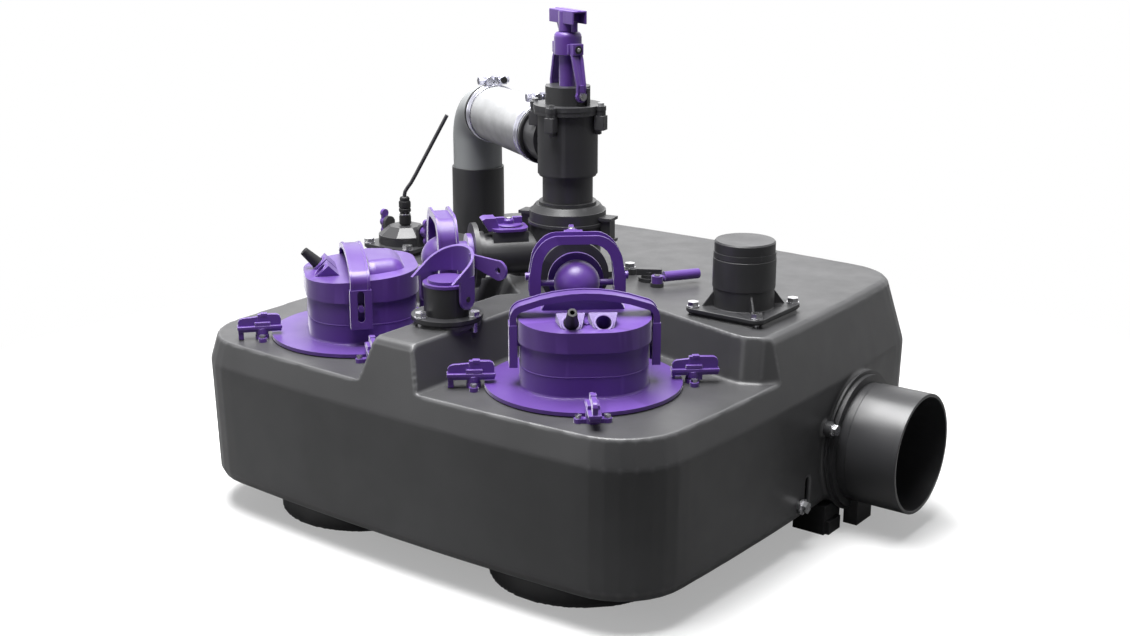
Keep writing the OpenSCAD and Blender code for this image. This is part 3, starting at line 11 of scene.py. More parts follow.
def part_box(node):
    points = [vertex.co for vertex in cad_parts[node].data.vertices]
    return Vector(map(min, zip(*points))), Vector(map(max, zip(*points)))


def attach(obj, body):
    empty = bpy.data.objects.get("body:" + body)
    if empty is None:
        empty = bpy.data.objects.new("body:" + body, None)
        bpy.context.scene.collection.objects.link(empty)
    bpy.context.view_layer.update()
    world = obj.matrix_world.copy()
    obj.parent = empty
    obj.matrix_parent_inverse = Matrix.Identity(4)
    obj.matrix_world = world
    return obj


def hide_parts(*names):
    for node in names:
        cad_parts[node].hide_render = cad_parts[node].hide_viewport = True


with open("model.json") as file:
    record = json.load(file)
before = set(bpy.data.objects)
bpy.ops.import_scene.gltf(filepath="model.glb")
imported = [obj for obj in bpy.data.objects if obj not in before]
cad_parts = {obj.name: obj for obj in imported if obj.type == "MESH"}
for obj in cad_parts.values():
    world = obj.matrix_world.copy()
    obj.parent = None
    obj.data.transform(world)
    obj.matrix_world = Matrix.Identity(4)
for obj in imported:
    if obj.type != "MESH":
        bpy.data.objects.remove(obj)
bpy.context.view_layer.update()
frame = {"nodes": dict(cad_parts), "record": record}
NODES = frame["nodes"]
MM = 0.001


# Camera at the photograph's place
CAMERA_AT = Vector((1.1985, -1.6648, 0.8515))
CAMERA_AZIMUTH = math.radians(36.754)
CAMERA_PITCH = math.radians(16.307)
# Focal length and sensor width in millimetres
LENS = 50
SENSOR_WIDTH = 36
CLIP = (0.05, 60)


def make_camera():
    data = bpy.data.cameras.new("camera")
    data.lens = LENS
    data.sensor_width = SENSOR_WIDTH
    data.clip_start, data.clip_end = CLIP
    camera = bpy.data.objects.new("camera", data)
    bpy.context.scene.collection.objects.link(camera)
    back = Vector((
        math.sin(CAMERA_AZIMUTH) * math.cos(CAMERA_PITCH),
        -math.cos(CAMERA_AZIMUTH) * math.cos(CAMERA_PITCH),
        math.sin(CAMERA_PITCH),
    ))
    camera.location = CAMERA_AT
    camera.rotation_mode = "QUATERNION"
    camera.rotation_quaternion = (-back).to_track_quat("-Z", "Y")
    bpy.context.scene.camera = camera


make_camera()


# Materials
class Material:
    """A node material with a small set of helpers for procedural detail in object coordinates, in metres."""

    def __init__(self, name):
        self.material = bpy.data.materials.new(name)
        self.material.use_nodes = True
        self.tree = self.material.node_tree
        self.shader = self.tree.nodes["Principled BSDF"]
        self.coords = self.add("ShaderNodeTexCoord").outputs["Object"]

    def add(self, kind, **values):
        node = self.tree.nodes.new(kind)
        for name, value in values.items():
            setattr(node, name, value)
        return node

    def link(self, a, b):
        self.tree.links.new(a, b)

    def socket(self, name):
        return self.shader.inputs[name]

    def noise(self, scale, detail=3.0, roughness=0.5, stretch=None):
        node = self.add("ShaderNodeTexNoise")
        node.inputs["Scale"].default_value = scale
        node.inputs["Detail"].default_value = detail
        node.inputs["Roughness"].default_value = roughness
        source = self.coords
        if stretch:
            mapping = self.add("ShaderNodeMapping")
            mapping.inputs["Scale"].default_value = stretch
            self.link(source, mapping.inputs["Vector"])
            source = mapping.outputs["Vector"]
        self.link(source, node.inputs["Vector"])
        return node.outputs["Fac"]

    def remap(self, value, low, high, out_low, out_high):
        node = self.add("ShaderNodeMapRange")
        ends = {"From Min": low, "From Max": high, "To Min": out_low, "To Max": out_high}
        for name, number in ends.items():
            node.inputs[name].default_value = number
        self.link(value, node.inputs["Value"])
        return node.outputs["Result"]

    def mix(self, factor, a, b):
        node = self.add("ShaderNodeMix", data_type="RGBA")
        self.link(factor, node.inputs[0])
        for socket, value in ((node.inputs[6], a), (node.inputs[7], b)):
            if hasattr(value, "is_linked"):
                self.link(value, socket)
            else:
                socket.default_value = (*value, 1.0)
        return node.outputs[2]

    def bump(self, height, strength, distance):
        node = self.add("ShaderNodeBump")
        node.inputs["Strength"].default_value = strength
        node.inputs["Distance"].default_value = distance
        self.link(height, node.inputs["Height"])
        previous = self.socket("Normal").links
        if previous:
            self.link(previous[0].from_socket, node.inputs["Normal"])
        self.link(node.outputs["Normal"], self.socket("Normal"))


# Scales of the noise are per metre, depths of the relief in metres
SHEEN_ROUGHNESS = 0.35
TONE_SCALE = 9.0
GLOSS_SCALE = 30.0
WAVE_SCALE = 60.0
WAVE_DEPTH = 0.001
GRAIN_DEPTH = 0.0003
# Pointiness at which the painted highlight along an edge starts and is full
EDGE_BENDS = (0.52, 0.60)
# Bends of the tank's painted edge highlight, for its smoother remeshed edges
TANK_HIGHLIGHT_BENDS = (0.506, 0.522)


def plastic(
    name, color, roughness, grain, depth,
    edge=0.35, drift=0.12, specular=0.5, sheen=0.0, bends=EDGE_BENDS,
):
    """Moulded plastic: fine grain, slight drift of tone, edges painted lighter as a highlight."""
    m = Material(name)
    light = tuple(min(1.0, c * (1 + drift)) for c in color)
    deep = tuple(c * (1 - drift) for c in color)
    # Painted highlight: a lighter tone on the rounded edges, standing in for light caught there
    highlit_edge_tone = tuple(min(1.0, c * 1.5 + 0.02) for c in color)
    tone = m.mix(m.remap(m.noise(TONE_SCALE), 0.35, 0.65, 0.0, 1.0), deep, light)
    edges = m.add("ShaderNodeNewGeometry").outputs["Pointiness"]
    # edge sets how strong the painted edge highlight is
    edge_highlight = m.remap(edges, *bends, 0.0, edge)
    m.link(m.mix(edge_highlight, tone, highlit_edge_tone), m.socket("Base Color"))
    gloss = m.remap(m.noise(GLOSS_SCALE, 4.0), 0.3, 0.7, roughness - 0.04, roughness + 0.05)
    m.link(gloss, m.socket("Roughness"))
    m.socket("Specular IOR Level").default_value = specular
    m.socket("Sheen Weight").default_value = sheen
    m.socket("Sheen Roughness").default_value = SHEEN_ROUGHNESS
    m.bump(m.noise(grain, 2.0), depth, GRAIN_DEPTH)
    m.bump(m.noise(WAVE_SCALE, 1.0), 0.04, WAVE_DEPTH)
    return m.material


def metal(name, color, roughness, brushed):
    """Zinc-plated or ground steel with fine scratches."""
    m = Material(name)
    dull = tuple(c * 0.72 for c in color)
    tone = m.mix(m.remap(m.noise(70.0, 4.0), 0.35, 0.7, 0.0, 1.0), color, dull)
    m.link(tone, m.socket("Base Color"))
    m.socket("Metallic").default_value = 1.0
    m.link(m.remap(m.noise(140.0, 3.0), 0.3, 0.7, roughness - 0.06, roughness + 0.1), m.socket("Roughness"))
    m.bump(m.noise(260.0, 2.0, 0.6, brushed), 0.12, GRAIN_DEPTH)
    return m.material


def rubber(name, color, roughness):
    """Rubber: powdery tone and a fine skin."""
    m = Material(name)
    dusty = tuple(c * 1.35 + 0.004 for c in color)
    tone = m.mix(m.remap(m.noise(40.0, 5.0), 0.4, 0.75, 0.0, 1.0), color, dusty)
    m.link(tone, m.socket("Base Color"))
    m.link(m.remap(m.noise(90.0), 0.3, 0.7, roughness - 0.05, roughness + 0.06), m.socket("Roughness"))
    m.socket("Specular IOR Level").default_value = 0.4
    m.bump(m.noise(1500.0, 2.0), 0.12, GRAIN_DEPTH)
    return m.material


PURPLE = (0.080, 0.027, 0.215)
# edge is the strength of the painted highlight on each finish's edges
MATERIALS = {
    # The tank's edges get a full-strength painted highlight along their roundings
    "tank": plastic(
        "tank_plastic", (0.044, 0.044, 0.046), roughness=0.41, grain=1300.0, depth=0.30,
        edge=1.0, specular=0.50, sheen=0.04, bends=TANK_HIGHLIGHT_BENDS,
    ),
    "purple": plastic(
        "purple_plastic", PURPLE, roughness=0.38, grain=1700.0, depth=0.10,
        edge=0.5, drift=0.06, specular=0.62, sheen=0.45,
    ),
    "dark": plastic(
        "dark_plastic", (0.030, 0.030, 0.032), roughness=0.38, grain=1600.0, depth=0.16,
        edge=0.7,
    ),
    "pipe": plastic(
        "pipe_plastic", (0.028, 0.028, 0.030), roughness=0.34, grain=1800.0, depth=0.08,
        edge=0.4,
    ),
    "black": rubber("black_rubber", (0.009, 0.009, 0.010), roughness=0.55),
    "hose": rubber("hose_rubber", (0.30, 0.303, 0.308), roughness=0.34),
    "grey": plastic(
        "grey_pvc", (0.26, 0.27, 0.275), roughness=0.40, grain=1900.0, depth=0.06,
        edge=0.1, drift=0.05,
    ),
    "steel": metal("zinc_steel", (0.72, 0.72, 0.74), roughness=0.26, brushed=(1.0, 1.0, 6.0)),
    "band": metal("clamp_band", (0.70, 0.70, 0.80), roughness=0.30, brushed=(8.0, 8.0, 1.0)),
    "iron": metal("machined_iron", (0.20, 0.20, 0.21), roughness=0.42, brushed=(1.0, 1.0, 8.0)),
}
SLOT = {
    "tank": "tank_plastic",
    "purple": "purple_plastic",
    "dark": "dark_plastic",
    "pipe": "dark_plastic",
    "black": "black_rubber",
    "hose": "hose_rubber",
    "grey": "grey_pvc",
    "steel": "steel",
    "band": "steel",
    "iron": "iron",
}


def finish_of(node):
    """Which finish a CAD node wears."""
    if node in ("riser_pipe", "inlet_pipe", "hand_pump_stub"):
        return "pipe"
    if node == "hose_clamps":
        return "band"
    slot = next(part["material_slot"] for part in frame["record"]["subparts"] if part["node"] == node)
    by_slot = {v: k for k, v in SLOT.items() if k not in ("pipe", "band")}
    return by_slot[slot]


# Edge rounding of the CAD nodes, in millimetres
ROUNDING = {
    "steel": 0.35,
    "purple": 0.9,
    "dark": 0.9,
    "pipe": 0.7,
    "black": 0.5,
    "hose": 0.8,
    "grey": 0.8,
    "band": 0.4,
    "iron": 0.6,
}
SHARP = math.radians(28)
BEVEL_SEGMENTS = 2
EVEN_WEIGHT = 60
# Points closer than this, in metres, are one
WELD_REACH = 0.00002


def soften(obj, width):
    """Rounded edges without touching the mesh itself: weld, bevel, even normals."""
    custom = obj.data.attributes.get("custom_normal")
    if custom:
        obj.data.attributes.remove(custom)
    for polygon in obj.data.polygons:
        polygon.use_smooth = True
    weld = obj.modifiers.new("weld", "WELD")
    weld.merge_threshold = WELD_REACH
    bevel = obj.modifiers.new("bevel", "BEVEL")
    bevel.width = width * MM
    bevel.segments = BEVEL_SEGMENTS
    bevel.limit_method = "ANGLE"
    bevel.angle_limit = SHARP
    bevel.use_clamp_overlap = True
    bevel.miter_outer = "MITER_ARC"
    even = obj.modifiers.new("even", "WEIGHTED_NORMAL")
    even.keep_sharp = False
    even.weight = EVEN_WEIGHT


def dress_nodes():
    for name, obj in NODES.items():
        finish = finish_of(name)
        obj.data.materials.clear()
        obj.data.materials.append(MATERIALS[finish])
        if name != "tank_shell":
            soften(obj, ROUNDING[finish])


dress_nodes()


# Building helpers
def link_mesh(name, mesh, finish, body):
    obj = bpy.data.objects.new(name, mesh)
    bpy.context.scene.collection.objects.link(obj)
    obj.data.materials.clear()
    obj.data.materials.append(MATERIALS[finish])
    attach(obj, body)
    return obj


def shift(x=0.0, y=0.0, z=0.0):
    return Matrix.Translation((x, y, z))


def turn(degrees, axis="Z"):
    return Matrix.Rotation(math.radians(degrees), 4, axis)


def ring(radius, z, steps):
    return [
        (radius * math.cos(2 * math.pi * i / steps), radius * math.sin(2 * math.pi * i / steps), z)
        for i in range(steps)
    ]


def rounded(half_x, half_y, radius, steps=5):
    """Outline of a rectangle with round corners."""
    flat_x = half_x - radius
    flat_y = half_y - radius
    points = []
    for corner, (sx, sy) in enumerate(((1, 1), (-1, 1), (-1, -1), (1, -1))):
        for i in range(steps + 1):
            t = math.radians(corner * 90 + 90 * i / steps)
            points.append((sx * flat_x + radius * math.cos(t), sy * flat_y + radius * math.sin(t)))
    return points


# Turns an outline in x and y, drawn along z, into one in y and z, drawn along x
ALONG_X = Matrix(((0, 0, 1, 0), (1, 0, 0, 0), (0, 1, 0, 0), (0, 0, 0, 1)))


class Shape:
    """One piece: closed solids gathered in millimetres, each set down by a placing matrix."""

    def __init__(self, name, finish, body, place=None):
        self.name = name
        self.finish = finish
        self.body = body
        self.place = place or Matrix()
        self.bm = bmesh.new()

    def skin(self, rings, place=None, loop=False):
        """Faces between outlines that have the same number of points."""
        move = self.place @ (place or Matrix())
        verts = [[self.bm.verts.new((move @ Vector(p)) * MM) for p in points] for points in rings]
        pairs = list(zip(verts, verts[1:] + verts[:1] if loop else verts[1:]))
        for one, other in pairs:
            for i in range(len(one)):
                j = (i + 1) % len(one)
                self.bm.faces.new((one[i], one[j], other[j], other[i]))
        if not loop:
            self.bm.faces.new(verts[0])
            self.bm.faces.new(verts[-1])

    def prism(self, outline, low, high, place=None):
        self.skin([[(x, y, z) for x, y in outline] for z in (low, high)], place)

    def block(self, low, high, place=None):
        outline = [(low[0], low[1]), (high[0], low[1]), (high[0], high[1]), (low[0], high[1])]
        self.prism(outline, low[2], high[2], place)

    def turned(self, profile, place=None, steps=40, hollow=False):
        """Profile of radius and height, from the bottom up; hollow closes it into a ring."""
        self.skin([ring(r, z, steps) for r, z in profile], place, loop=hollow)

    def rod(self, radius, low, high, place=None, steps=32):
        self.turned([(radius, low), (radius, high)], place, steps)

    def done(self, rounding, *replaced):
        bmesh.ops.recalc_face_normals(self.bm, faces=self.bm.faces)
        mesh = bpy.data.meshes.new(self.name)
        self.bm.to_mesh(mesh)
        self.bm.free()
        obj = link_mesh(self.name, mesh, self.finish, self.body)
        soften(obj, rounding)
        if replaced:
            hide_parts(*replaced)


# Frames of part.scad, in millimetres
MIRROR = Matrix.Scale(-1, 4, (1, 0, 0))
TANK_X = -47.0
AT_TANK = shift(TANK_X)
PUMP_X = 184.0
PUMP_Y = 206.0
PUMP_BEARING = 130.7
VALVE_Y = 9.0
BRANCH_BEARING = math.degrees(math.atan2(-PUMP_Y - VALVE_Y, PUMP_X))
HANDLE_BEARING = -22.0
DECK_Z = 240.0
DISC_TOP_Z = 246.0
CAP_TOP_Z = 327.0
CLAMP_RING_R = 133.0
# Pump a is the mirror image of pump b
SIDES = ("a", "b")


def on_side(side):
    return MIRROR if side == "a" else Matrix()


def at_pump(side):
    return AT_TANK @ on_side(side) @ shift(PUMP_X, -PUMP_Y) @ turn(PUMP_BEARING)


def at_branch(side):
    return AT_TANK @ shift(0, VALVE_Y) @ on_side(side) @ turn(BRANCH_BEARING)


# Wing clamps: two-lobed thumb plate on a ledge, a foot and a boss
LEDGE_Z = DECK_Z + 14
LEDGE_T = 4.5
LEDGE_HALF = 7.5
WING_OUT = 31.0
WING_IN = 25.5
LOW_LOBE_T = 4.4
HIGH_LOBE_T = 6.0
WING_BOSS_R = 8.3
FOOT_HALF = 4.5
FOOT_LENGTH = 7.0
FOOT_PLAY = 0.5
# The foot of a wing passes outside its two screws
WING_SWEEP = 22.0


def make_wing_clamp(side, index):
    """Local frame: x along the wing from its low lobe to its high one, z up."""
    node = f"wing_clamp_{side}{index}"
    place = at_pump(side) @ turn(180 + 90 * (index - 1)) @ shift(CLAMP_RING_R)
    camera_right = Vector((math.cos(CAMERA_AZIMUTH), math.sin(CAMERA_AZIMUTH), 0))
    outwards_right = (place.to_3x3() @ Vector((1, 0, 0))).dot(camera_right) > 0
    if not outwards_right:
        place = place @ turn(180)
    low, high = (WING_IN, WING_OUT) if outwards_right else (WING_OUT, WING_IN)
    low_floor, high_floor = (DISC_TOP_Z, DECK_Z) if outwards_right else (DECK_Z, DISC_TOP_Z)
    clamp = Shape(f"{node}_shape", "purple", node, place)
    # Two lobes of the thumb plate
    upright = turn(90, "X")
    low_lobe = [(-low + 1, 12), (-4, 12), (-4, 30.5), (-low + 6, 29), (-low + 2.5, 27.5), (-low, 24)]
    high_lobe = [(-5, 12), (high - 1, 12), (high, 27), (high - 2, 31), (high - 6, 33), (-5, 33.5)]
    for lobe, thickness in ((low_lobe, LOW_LOBE_T), (high_lobe, HIGH_LOBE_T)):
        clamp.prism([(x, z + DECK_Z) for x, z in lobe], -thickness / 2, thickness / 2, upright)
    # Ledge, the strip below it, the hub above it and the nib between the lobes
    clamp.block((-low - 1, -LEDGE_HALF, LEDGE_Z), (high + 1, LEDGE_HALF, LEDGE_Z + LEDGE_T))
    clamp.block((-low, -6.0, LEDGE_Z - 3.5), (high, 6.0, LEDGE_Z + 1))
    clamp.block((-9, -7.0, LEDGE_Z + 4), (11, 7.0, LEDGE_Z + 9.5))
    clamp.block((-1, -3.6, DECK_Z + 30), (8, 3.6, DECK_Z + 34.8))
    # Foot below the low lobe, toe and stay below the high one, boss round the screw
    foot_in = max(WING_SWEEP, low - FOOT_LENGTH)
    clamp.block((-low, -FOOT_HALF, low_floor + FOOT_PLAY), (-foot_in, FOOT_HALF, LEDGE_Z))
    clamp.block((high - 15, -FOOT_HALF, LEDGE_Z - 4), (high - 1, FOOT_HALF, LEDGE_Z))
    clamp.rod(WING_BOSS_R, DISC_TOP_Z + FOOT_PLAY, LEDGE_Z + 1)
    clamp.block((2, -5, high_floor + 4), (11.5, 5, LEDGE_Z))
    clamp.done(0.8, node)


for pump_side in SIDES:
    for clamp_index in (1, 2, 3, 4):
        make_wing_clamp(pump_side, clamp_index)


# Motor casing: cove at its foot, bead on the ring seam, rims of the cable glands, screw of the cap
CASING_R = 58.0
CASING_DX = 13.0
CASING_DY = 19.0
RING_TOP_Z = 272.0
GLAND_AT = (-50.0, 19.0, CAP_TOP_Z + 2)
GLAND_TILT = -45.0
GLAND_BORE = 9.0
GLAND_RIM_Z = (5.0, 7.2)
GLAND_RIM_T = 3.2
CAP_SCREW_X = -44.0


def casing_line(proud, z):
    radius = CASING_R + proud
    return [(x, y, z) for x, y in rounded(CASING_DX + radius, CASING_DY + radius, radius, 12)]


def make_casing_trim(side):
    place = at_pump(side)
    foot = [(0, 3.2), (0.35, 1.9), (0.9, 0.9), (1.9, 0.3), (3.2, 0.1), (3.2, -0.5), (-1, -0.5), (-1, 3.2)]
    trim = Shape(f"casing_foot_{side}", "purple", "station", place)
    trim.skin([casing_line(d, DISC_TOP_Z + h) for d, h in foot], loop=True)
    trim.done(0.2)
    seam = [(-0.5, -0.9), (0.35, -0.7), (0.6, 0), (0.35, 0.7), (-0.5, 0.9)]
    bead = Shape(f"casing_seam_{side}", "purple", "station", place)
    bead.skin([casing_line(d, RING_TOP_Z + h) for d, h in seam], loop=True)
    bead.done(0.1)
    low, high = GLAND_RIM_Z
    edge = GLAND_BORE + GLAND_RIM_T
    section = [(GLAND_BORE, low), (edge, low), (edge - 0.4, high), (GLAND_BORE, high)]
    for t, name in ((-1, "left"), (1, "right")):
        at_gland = shift(GLAND_AT[0], t * GLAND_AT[1], GLAND_AT[2]) @ turn(GLAND_TILT, "Y")
        rim = Shape(f"gland_rim_{side}_{name}", "purple", "station", place)
        rim.turned(section, at_gland, 40, True)
        rim.done(0.5)
    screw = Shape(f"cap_screw_{side}", "purple", "station", place @ shift(CAP_SCREW_X, 0, CAP_TOP_Z + 1.6))
    screw.turned([(3.4, -1), (3.4, 1.4), (2.6, 2.0)], steps=24)
    screw.done(0.3)


for pump_side in SIDES:
    make_casing_trim(pump_side)


# Access covers of the collector: thin lid, broad grip at the outer end
PORT_X = 82.0
PORT_Z = 372.0
LID_T = 5.0
LID_HALF = (25.0, 23.5)
LID_CORNER_R = 14.0
GRIP_X = 16.0
GRIP_HALF = 12.0
LOCK_PLATE_R = 19.0
LOCK_HUB_R = 8.0
LOCK_WING_X = (5.5, 18.5)
LOCK_WING_HALF = 3.2


def make_access_covers():
    covers = Shape("access_covers_shape", "purple", "station")
    grip = [(-3, 0), (13, 0), (22, 15.5), (17, 18), (3, 18)]
    for side in SIDES:
        place = at_branch(side) @ shift(PORT_X, 0, PORT_Z)
        covers.prism(rounded(*LID_HALF, LID_CORNER_R), 0.3, LID_T - 0.6, place)
        covers.turned([(20, LID_T - 1), (20, LID_T - 0.1), (17, LID_T + 0.4)], place)
        covers.prism([(x + GRIP_X, z) for x, z in grip], -GRIP_HALF, GRIP_HALF, place @ turn(90, "X"))
    covers.done(0.8, "access_covers")


def make_cover_lock(side):
    node = f"cover_lock_{side}"
    on_lid = at_branch(side) @ shift(PORT_X, 0, PORT_Z + LID_T)
    lock = Shape(f"{node}_shape", "purple", node, on_lid @ shift(0, 0, 0.7))
    lock.turned([(LOCK_PLATE_R, 0), (LOCK_PLATE_R, 1.6), (LOCK_PLATE_R - 1.5, 2.6)])
    lock.turned([(LOCK_HUB_R, 2), (LOCK_HUB_R, 7), (LOCK_HUB_R - 1.5, 8.5)])
    near, far = LOCK_WING_X
    for start, end in ((-far, -near), (near, far)):
        lock.block((start, -LOCK_WING_HALF, 1.5), (end, LOCK_WING_HALF, 11))
    lock.done(0.7, node)
    screw = Shape(f"{node}_screw", "steel", node, on_lid @ shift(0, 0, 8.7))
    screw.turned([(4.2, 0), (4.2, 2.0), (3.4, 2.6)], steps=6)
    screw.done(0.25)


make_access_covers()
for pump_side in SIDES:
    make_cover_lock(pump_side)


# Shut-off valve: T handle on the stem, sleeve and two-railed legs of the yoke
HANDLE_TOP_Z = 663.0
GRIP_Z = (HANDLE_TOP_Z - 18, HANDLE_TOP_Z - 0.8)
GRIP_REACH = 30.0
GRIP_HALF_Y = 11.0
GRIP_WALL = 2.6
HANDLE_NECK_R = 12.3
SLEEVE_Z = (604.0, 634.0)
SLEEVE_R = 18.5
STEM_R = 11.5
STEM_Z = (517.0, 640.0)
PLUG_R = 31.0
PLUG_Z = (456.0, 532.0)
EYE_Z = 552.0
EYE_R = 8.0
EYE_X = (31.2, 35.9)
KNEE_Z = 568.0
RAIL_HALF = (2.5, 2.3)
WEB_HALF = (1.2, 5.5)
WASHER_R = 5.4
AT_HANDLE = AT_TANK @ shift(0, VALVE_Y) @ turn(HANDLE_BEARING)


def make_handle():
    """Local frame: x along the grip, with its open end towards +x."""
    low, high = GRIP_Z
    out, inside = GRIP_HALF_Y, GRIP_HALF_Y - GRIP_WALL
    foot = SLEEVE_Z[1] + 0.5
    handle = Shape("valve_stem_shape", "purple", "valve_stem", AT_HANDLE)
    # Grip: a channel at its open end, solid elsewhere, with a raised line along its top
    channel = [
        (-out, low), (-inside, low), (-inside, high - GRIP_WALL), (inside, high - GRIP_WALL),
        (inside, low), (out, low), (out, high), (-out, high),
    ]
    handle.prism(channel, 12, GRIP_REACH, ALONG_X)
    handle.block((-GRIP_REACH, -out, low), (13, out, high))
    handle.block((-29, -2.4, high - 1), (29.4, 2.4, HANDLE_TOP_Z))
    # Neck, side pillar and web between the grip and the sleeve
    handle.rod(HANDLE_NECK_R, foot, high - 1)
    handle.rod(4.4, foot, low + 3, shift(16.5))
    web = [(-14, foot), (10, foot), (10, low + 2), (-20, low + 2)]
    handle.prism(web, -6, 6, turn(90, "X"))
    # Stem and plug inside the valve
    handle.rod(STEM_R, *STEM_Z)
    handle.rod(PLUG_R, *PLUG_Z)
    handle.done(0.9, "valve_stem")


def rail(piece, route, half_x, half_y, place):
    """Bar of one section through points that go downwards."""
    section = [(-half_x, -half_y), (half_x, -half_y), (half_x, half_y), (-half_x, half_y)]
    piece.skin([[(x + a, y + b, z) for a, b in section] for x, y, z in route], place)


def make_yoke():
    yoke = Shape("valve_yoke_shape", "purple", "station", AT_HANDLE)
    low, high = SLEEVE_Z
    bore = STEM_R + 0.4
    sleeve = [
        (bore, low), (SLEEVE_R - 0.5, low), (SLEEVE_R, low + 1), (SLEEVE_R, high - 7),
        (SLEEVE_R - 0.9, high - 3.5), (SLEEVE_R - 3.1, high - 0.9), (bore, high),
    ]
    yoke.turned(sleeve, steps=56, hollow=True)
    eye_in, eye_out = EYE_X
    for side in (0, 180):
        place = turn(side)
        # Two rails and a web from the sleeve down to the eye
        for t in (-1, 1):
            upper = [(20.5, t * 6.0, low + 4), (24.5, t * 6.0, low - 5)]
            lower = [(33.4, t * 4.6, KNEE_Z), (33.4, t * 4.2, EYE_Z)]
            rail(yoke, upper + lower, *RAIL_HALF, place)
        web = [(19.5, 0, low + 4), (23.3, 0, low - 5), (32.6, 0, KNEE_Z), (32.6, 0, EYE_Z)]
        rail(yoke, web, *WEB_HALF, place)
        yoke.block((eye_in, -6.2, EYE_Z), (eye_out, 6.2, KNEE_Z - 1), place)
        yoke.rod(EYE_R, eye_in, eye_out, place @ shift(0, 0, EYE_Z) @ ALONG_X, 40)
        # Boss on the sleeve, which carries the bolt
        yoke.block((16.5, -8, low + 1), (27, 8, low + 15.5), place)
        yoke.block((12, -10.5, low + 1.5), (19, 10.5, low + 15), place)
    yoke.done(0.8, "valve_yoke")
    for side, name in ((0, "front"), (180, "back")):
        at_bolt = AT_HANDLE @ turn(side) @ shift(0, 0, low + 8.2) @ ALONG_X
        washer = Shape(f"yoke_washer_{name}", "black", "station", at_bolt)
        washer.turned([(2.7, 26.8), (WASHER_R, 26.8), (WASHER_R, 27.8), (2.7, 27.8)], hollow=True)
        washer.done(0.2)
        bolt = Shape(f"yoke_bolt_{name}", "steel", "station", at_bolt)
        bolt.turned([(2.6, 26.9), (2.6, 27.9), (1.6, 28.1)], steps=24)
        bolt.done(0.15)


make_handle()
make_yoke()


# Lugs of the valve body, at four bearings round its axis
LUG_BEARING = 10.0
LUG_IN = 41.5
LUG_OUT = 56.0
LUG_Z = (507.0, 526.6)


def make_valve_lugs():
    """Deep lugs below the bonnet flange, which hide the ends of its bolts."""
    lugs = Shape("valve_lugs", "dark", "station", AT_TANK @ shift(0, VALVE_Y))
    low, high = LUG_Z
    for i in range(4):
        place = turn(LUG_BEARING + 90 * i)
        lugs.block((LUG_IN, -6.5, low), (LUG_OUT, 6.5, high), place)
        lugs.block((LUG_IN, -3.5, low - 6), (LUG_OUT - 7, 3.5, low + 1), place)
    lugs.done(0.9)


make_valve_lugs()


# Flexible connection: bands with T-bolts and black end rings
RISER_X = -299.0
RISER_Y = 178.0
HOSE_BEARING = math.degrees(math.atan2(RISER_Y - VALVE_Y, RISER_X))
HOSE_Z = 487.0
HOSE_R = 41.1
HOSE_ENDS = (72.0, 281.46)
BAND_INSET = 12.0
BAND_HALF = 6.6
BAND_LIFT = 0.35
DRUM_R = 6.4
DRUM_Y = (9.5, -12.5)
TBOLT_R = 2.9
RIM_OVERHANG = 1.5
AT_LINE = AT_TANK @ shift(0, VALVE_Y, HOSE_Z) @ turn(HOSE_BEARING)


def make_hose_clamps():
    """Local frame: x along the hose, y across it, z up."""
    clamps = Shape("hose_clamps_shape", "band", "station", AT_LINE)
    ends = Shape("hose_clamp_sockets", "black", "station", AT_LINE)
    inner = HOSE_R + BAND_LIFT
    for x in (HOSE_ENDS[0] + BAND_INSET, HOSE_ENDS[1] - BAND_INSET):
        place = shift(x)
        band = [(inner, -BAND_HALF), (inner + 1.1, -BAND_HALF), (inner + 1.9, -5.6), (inner + 1.0, -4.4)]
        band += [(r, -z) for r, z in band[::-1]]
        clamps.turned(band, place @ ALONG_X, 72, True)
        # Two cross drums on their saddles, with a black plug in one
        top = place @ shift(0, 0, inner + 8.2)
        across = top @ turn(-90, "X")
        drum = [(DRUM_R - 0.8, -7.5), (DRUM_R, -6.6), (DRUM_R, 6.6), (DRUM_R - 0.8, 7.5)]
        for y in DRUM_Y:
            clamps.turned(drum, top @ shift(0, y) @ ALONG_X, 32)
            clamps.block((-6, y - 5.5, -6.5), (6, y + 5.5, -1), top)
        ends.turned([(4.9, -8.1), (4.9, -7.2)], top @ shift(0, DRUM_Y[1]) @ ALONG_X, 28)
        # Bolt through the drums, its nut, its head, and the grooved bridge over the gap
        clamps.rod(TBOLT_R, -20, 24, across, 24)
        clamps.turned([(5.6, 17), (6.6, 18), (6.6, 24.4), (5.6, 25.2)], across, 6)
        clamps.rod(5.2, -22.5, -18.5, across, 6)
        clamps.block((-6.4, -4.5, -4.5), (6.4, 2.5, 5.4), top)
        for i in range(5):
            clamps.block((-5.4, -4.0 + 1.4 * i, 5.2), (5.4, -3.4 + 1.4 * i, 5.9), top)
    clamps.done(0.35, "hose_clamps")
    ends.done(0.2)
    rims = Shape("hose_rims", "black", "station", AT_LINE)
    rim = [(38.0, -3), (41.4, -3), (42.4, -2), (42.4, 2), (41.4, 3), (38.0, 3)]
    for x in (HOSE_ENDS[0] - RIM_OVERHANG, HOSE_ENDS[1] + RIM_OVERHANG):
        rims.turned(rim, shift(x) @ ALONG_X, 72, True)
    rims.done(0.3)


make_hose_clamps()


# Level sensor: stepped cable gland round the signal tube
SENSOR_X = -300.0
SENSOR_Y = 10.0
GLAND_FOOT_Z = 333.4
AT_SENSOR = AT_TANK @ shift(SENSOR_X, SENSOR_Y, GLAND_FOOT_Z)


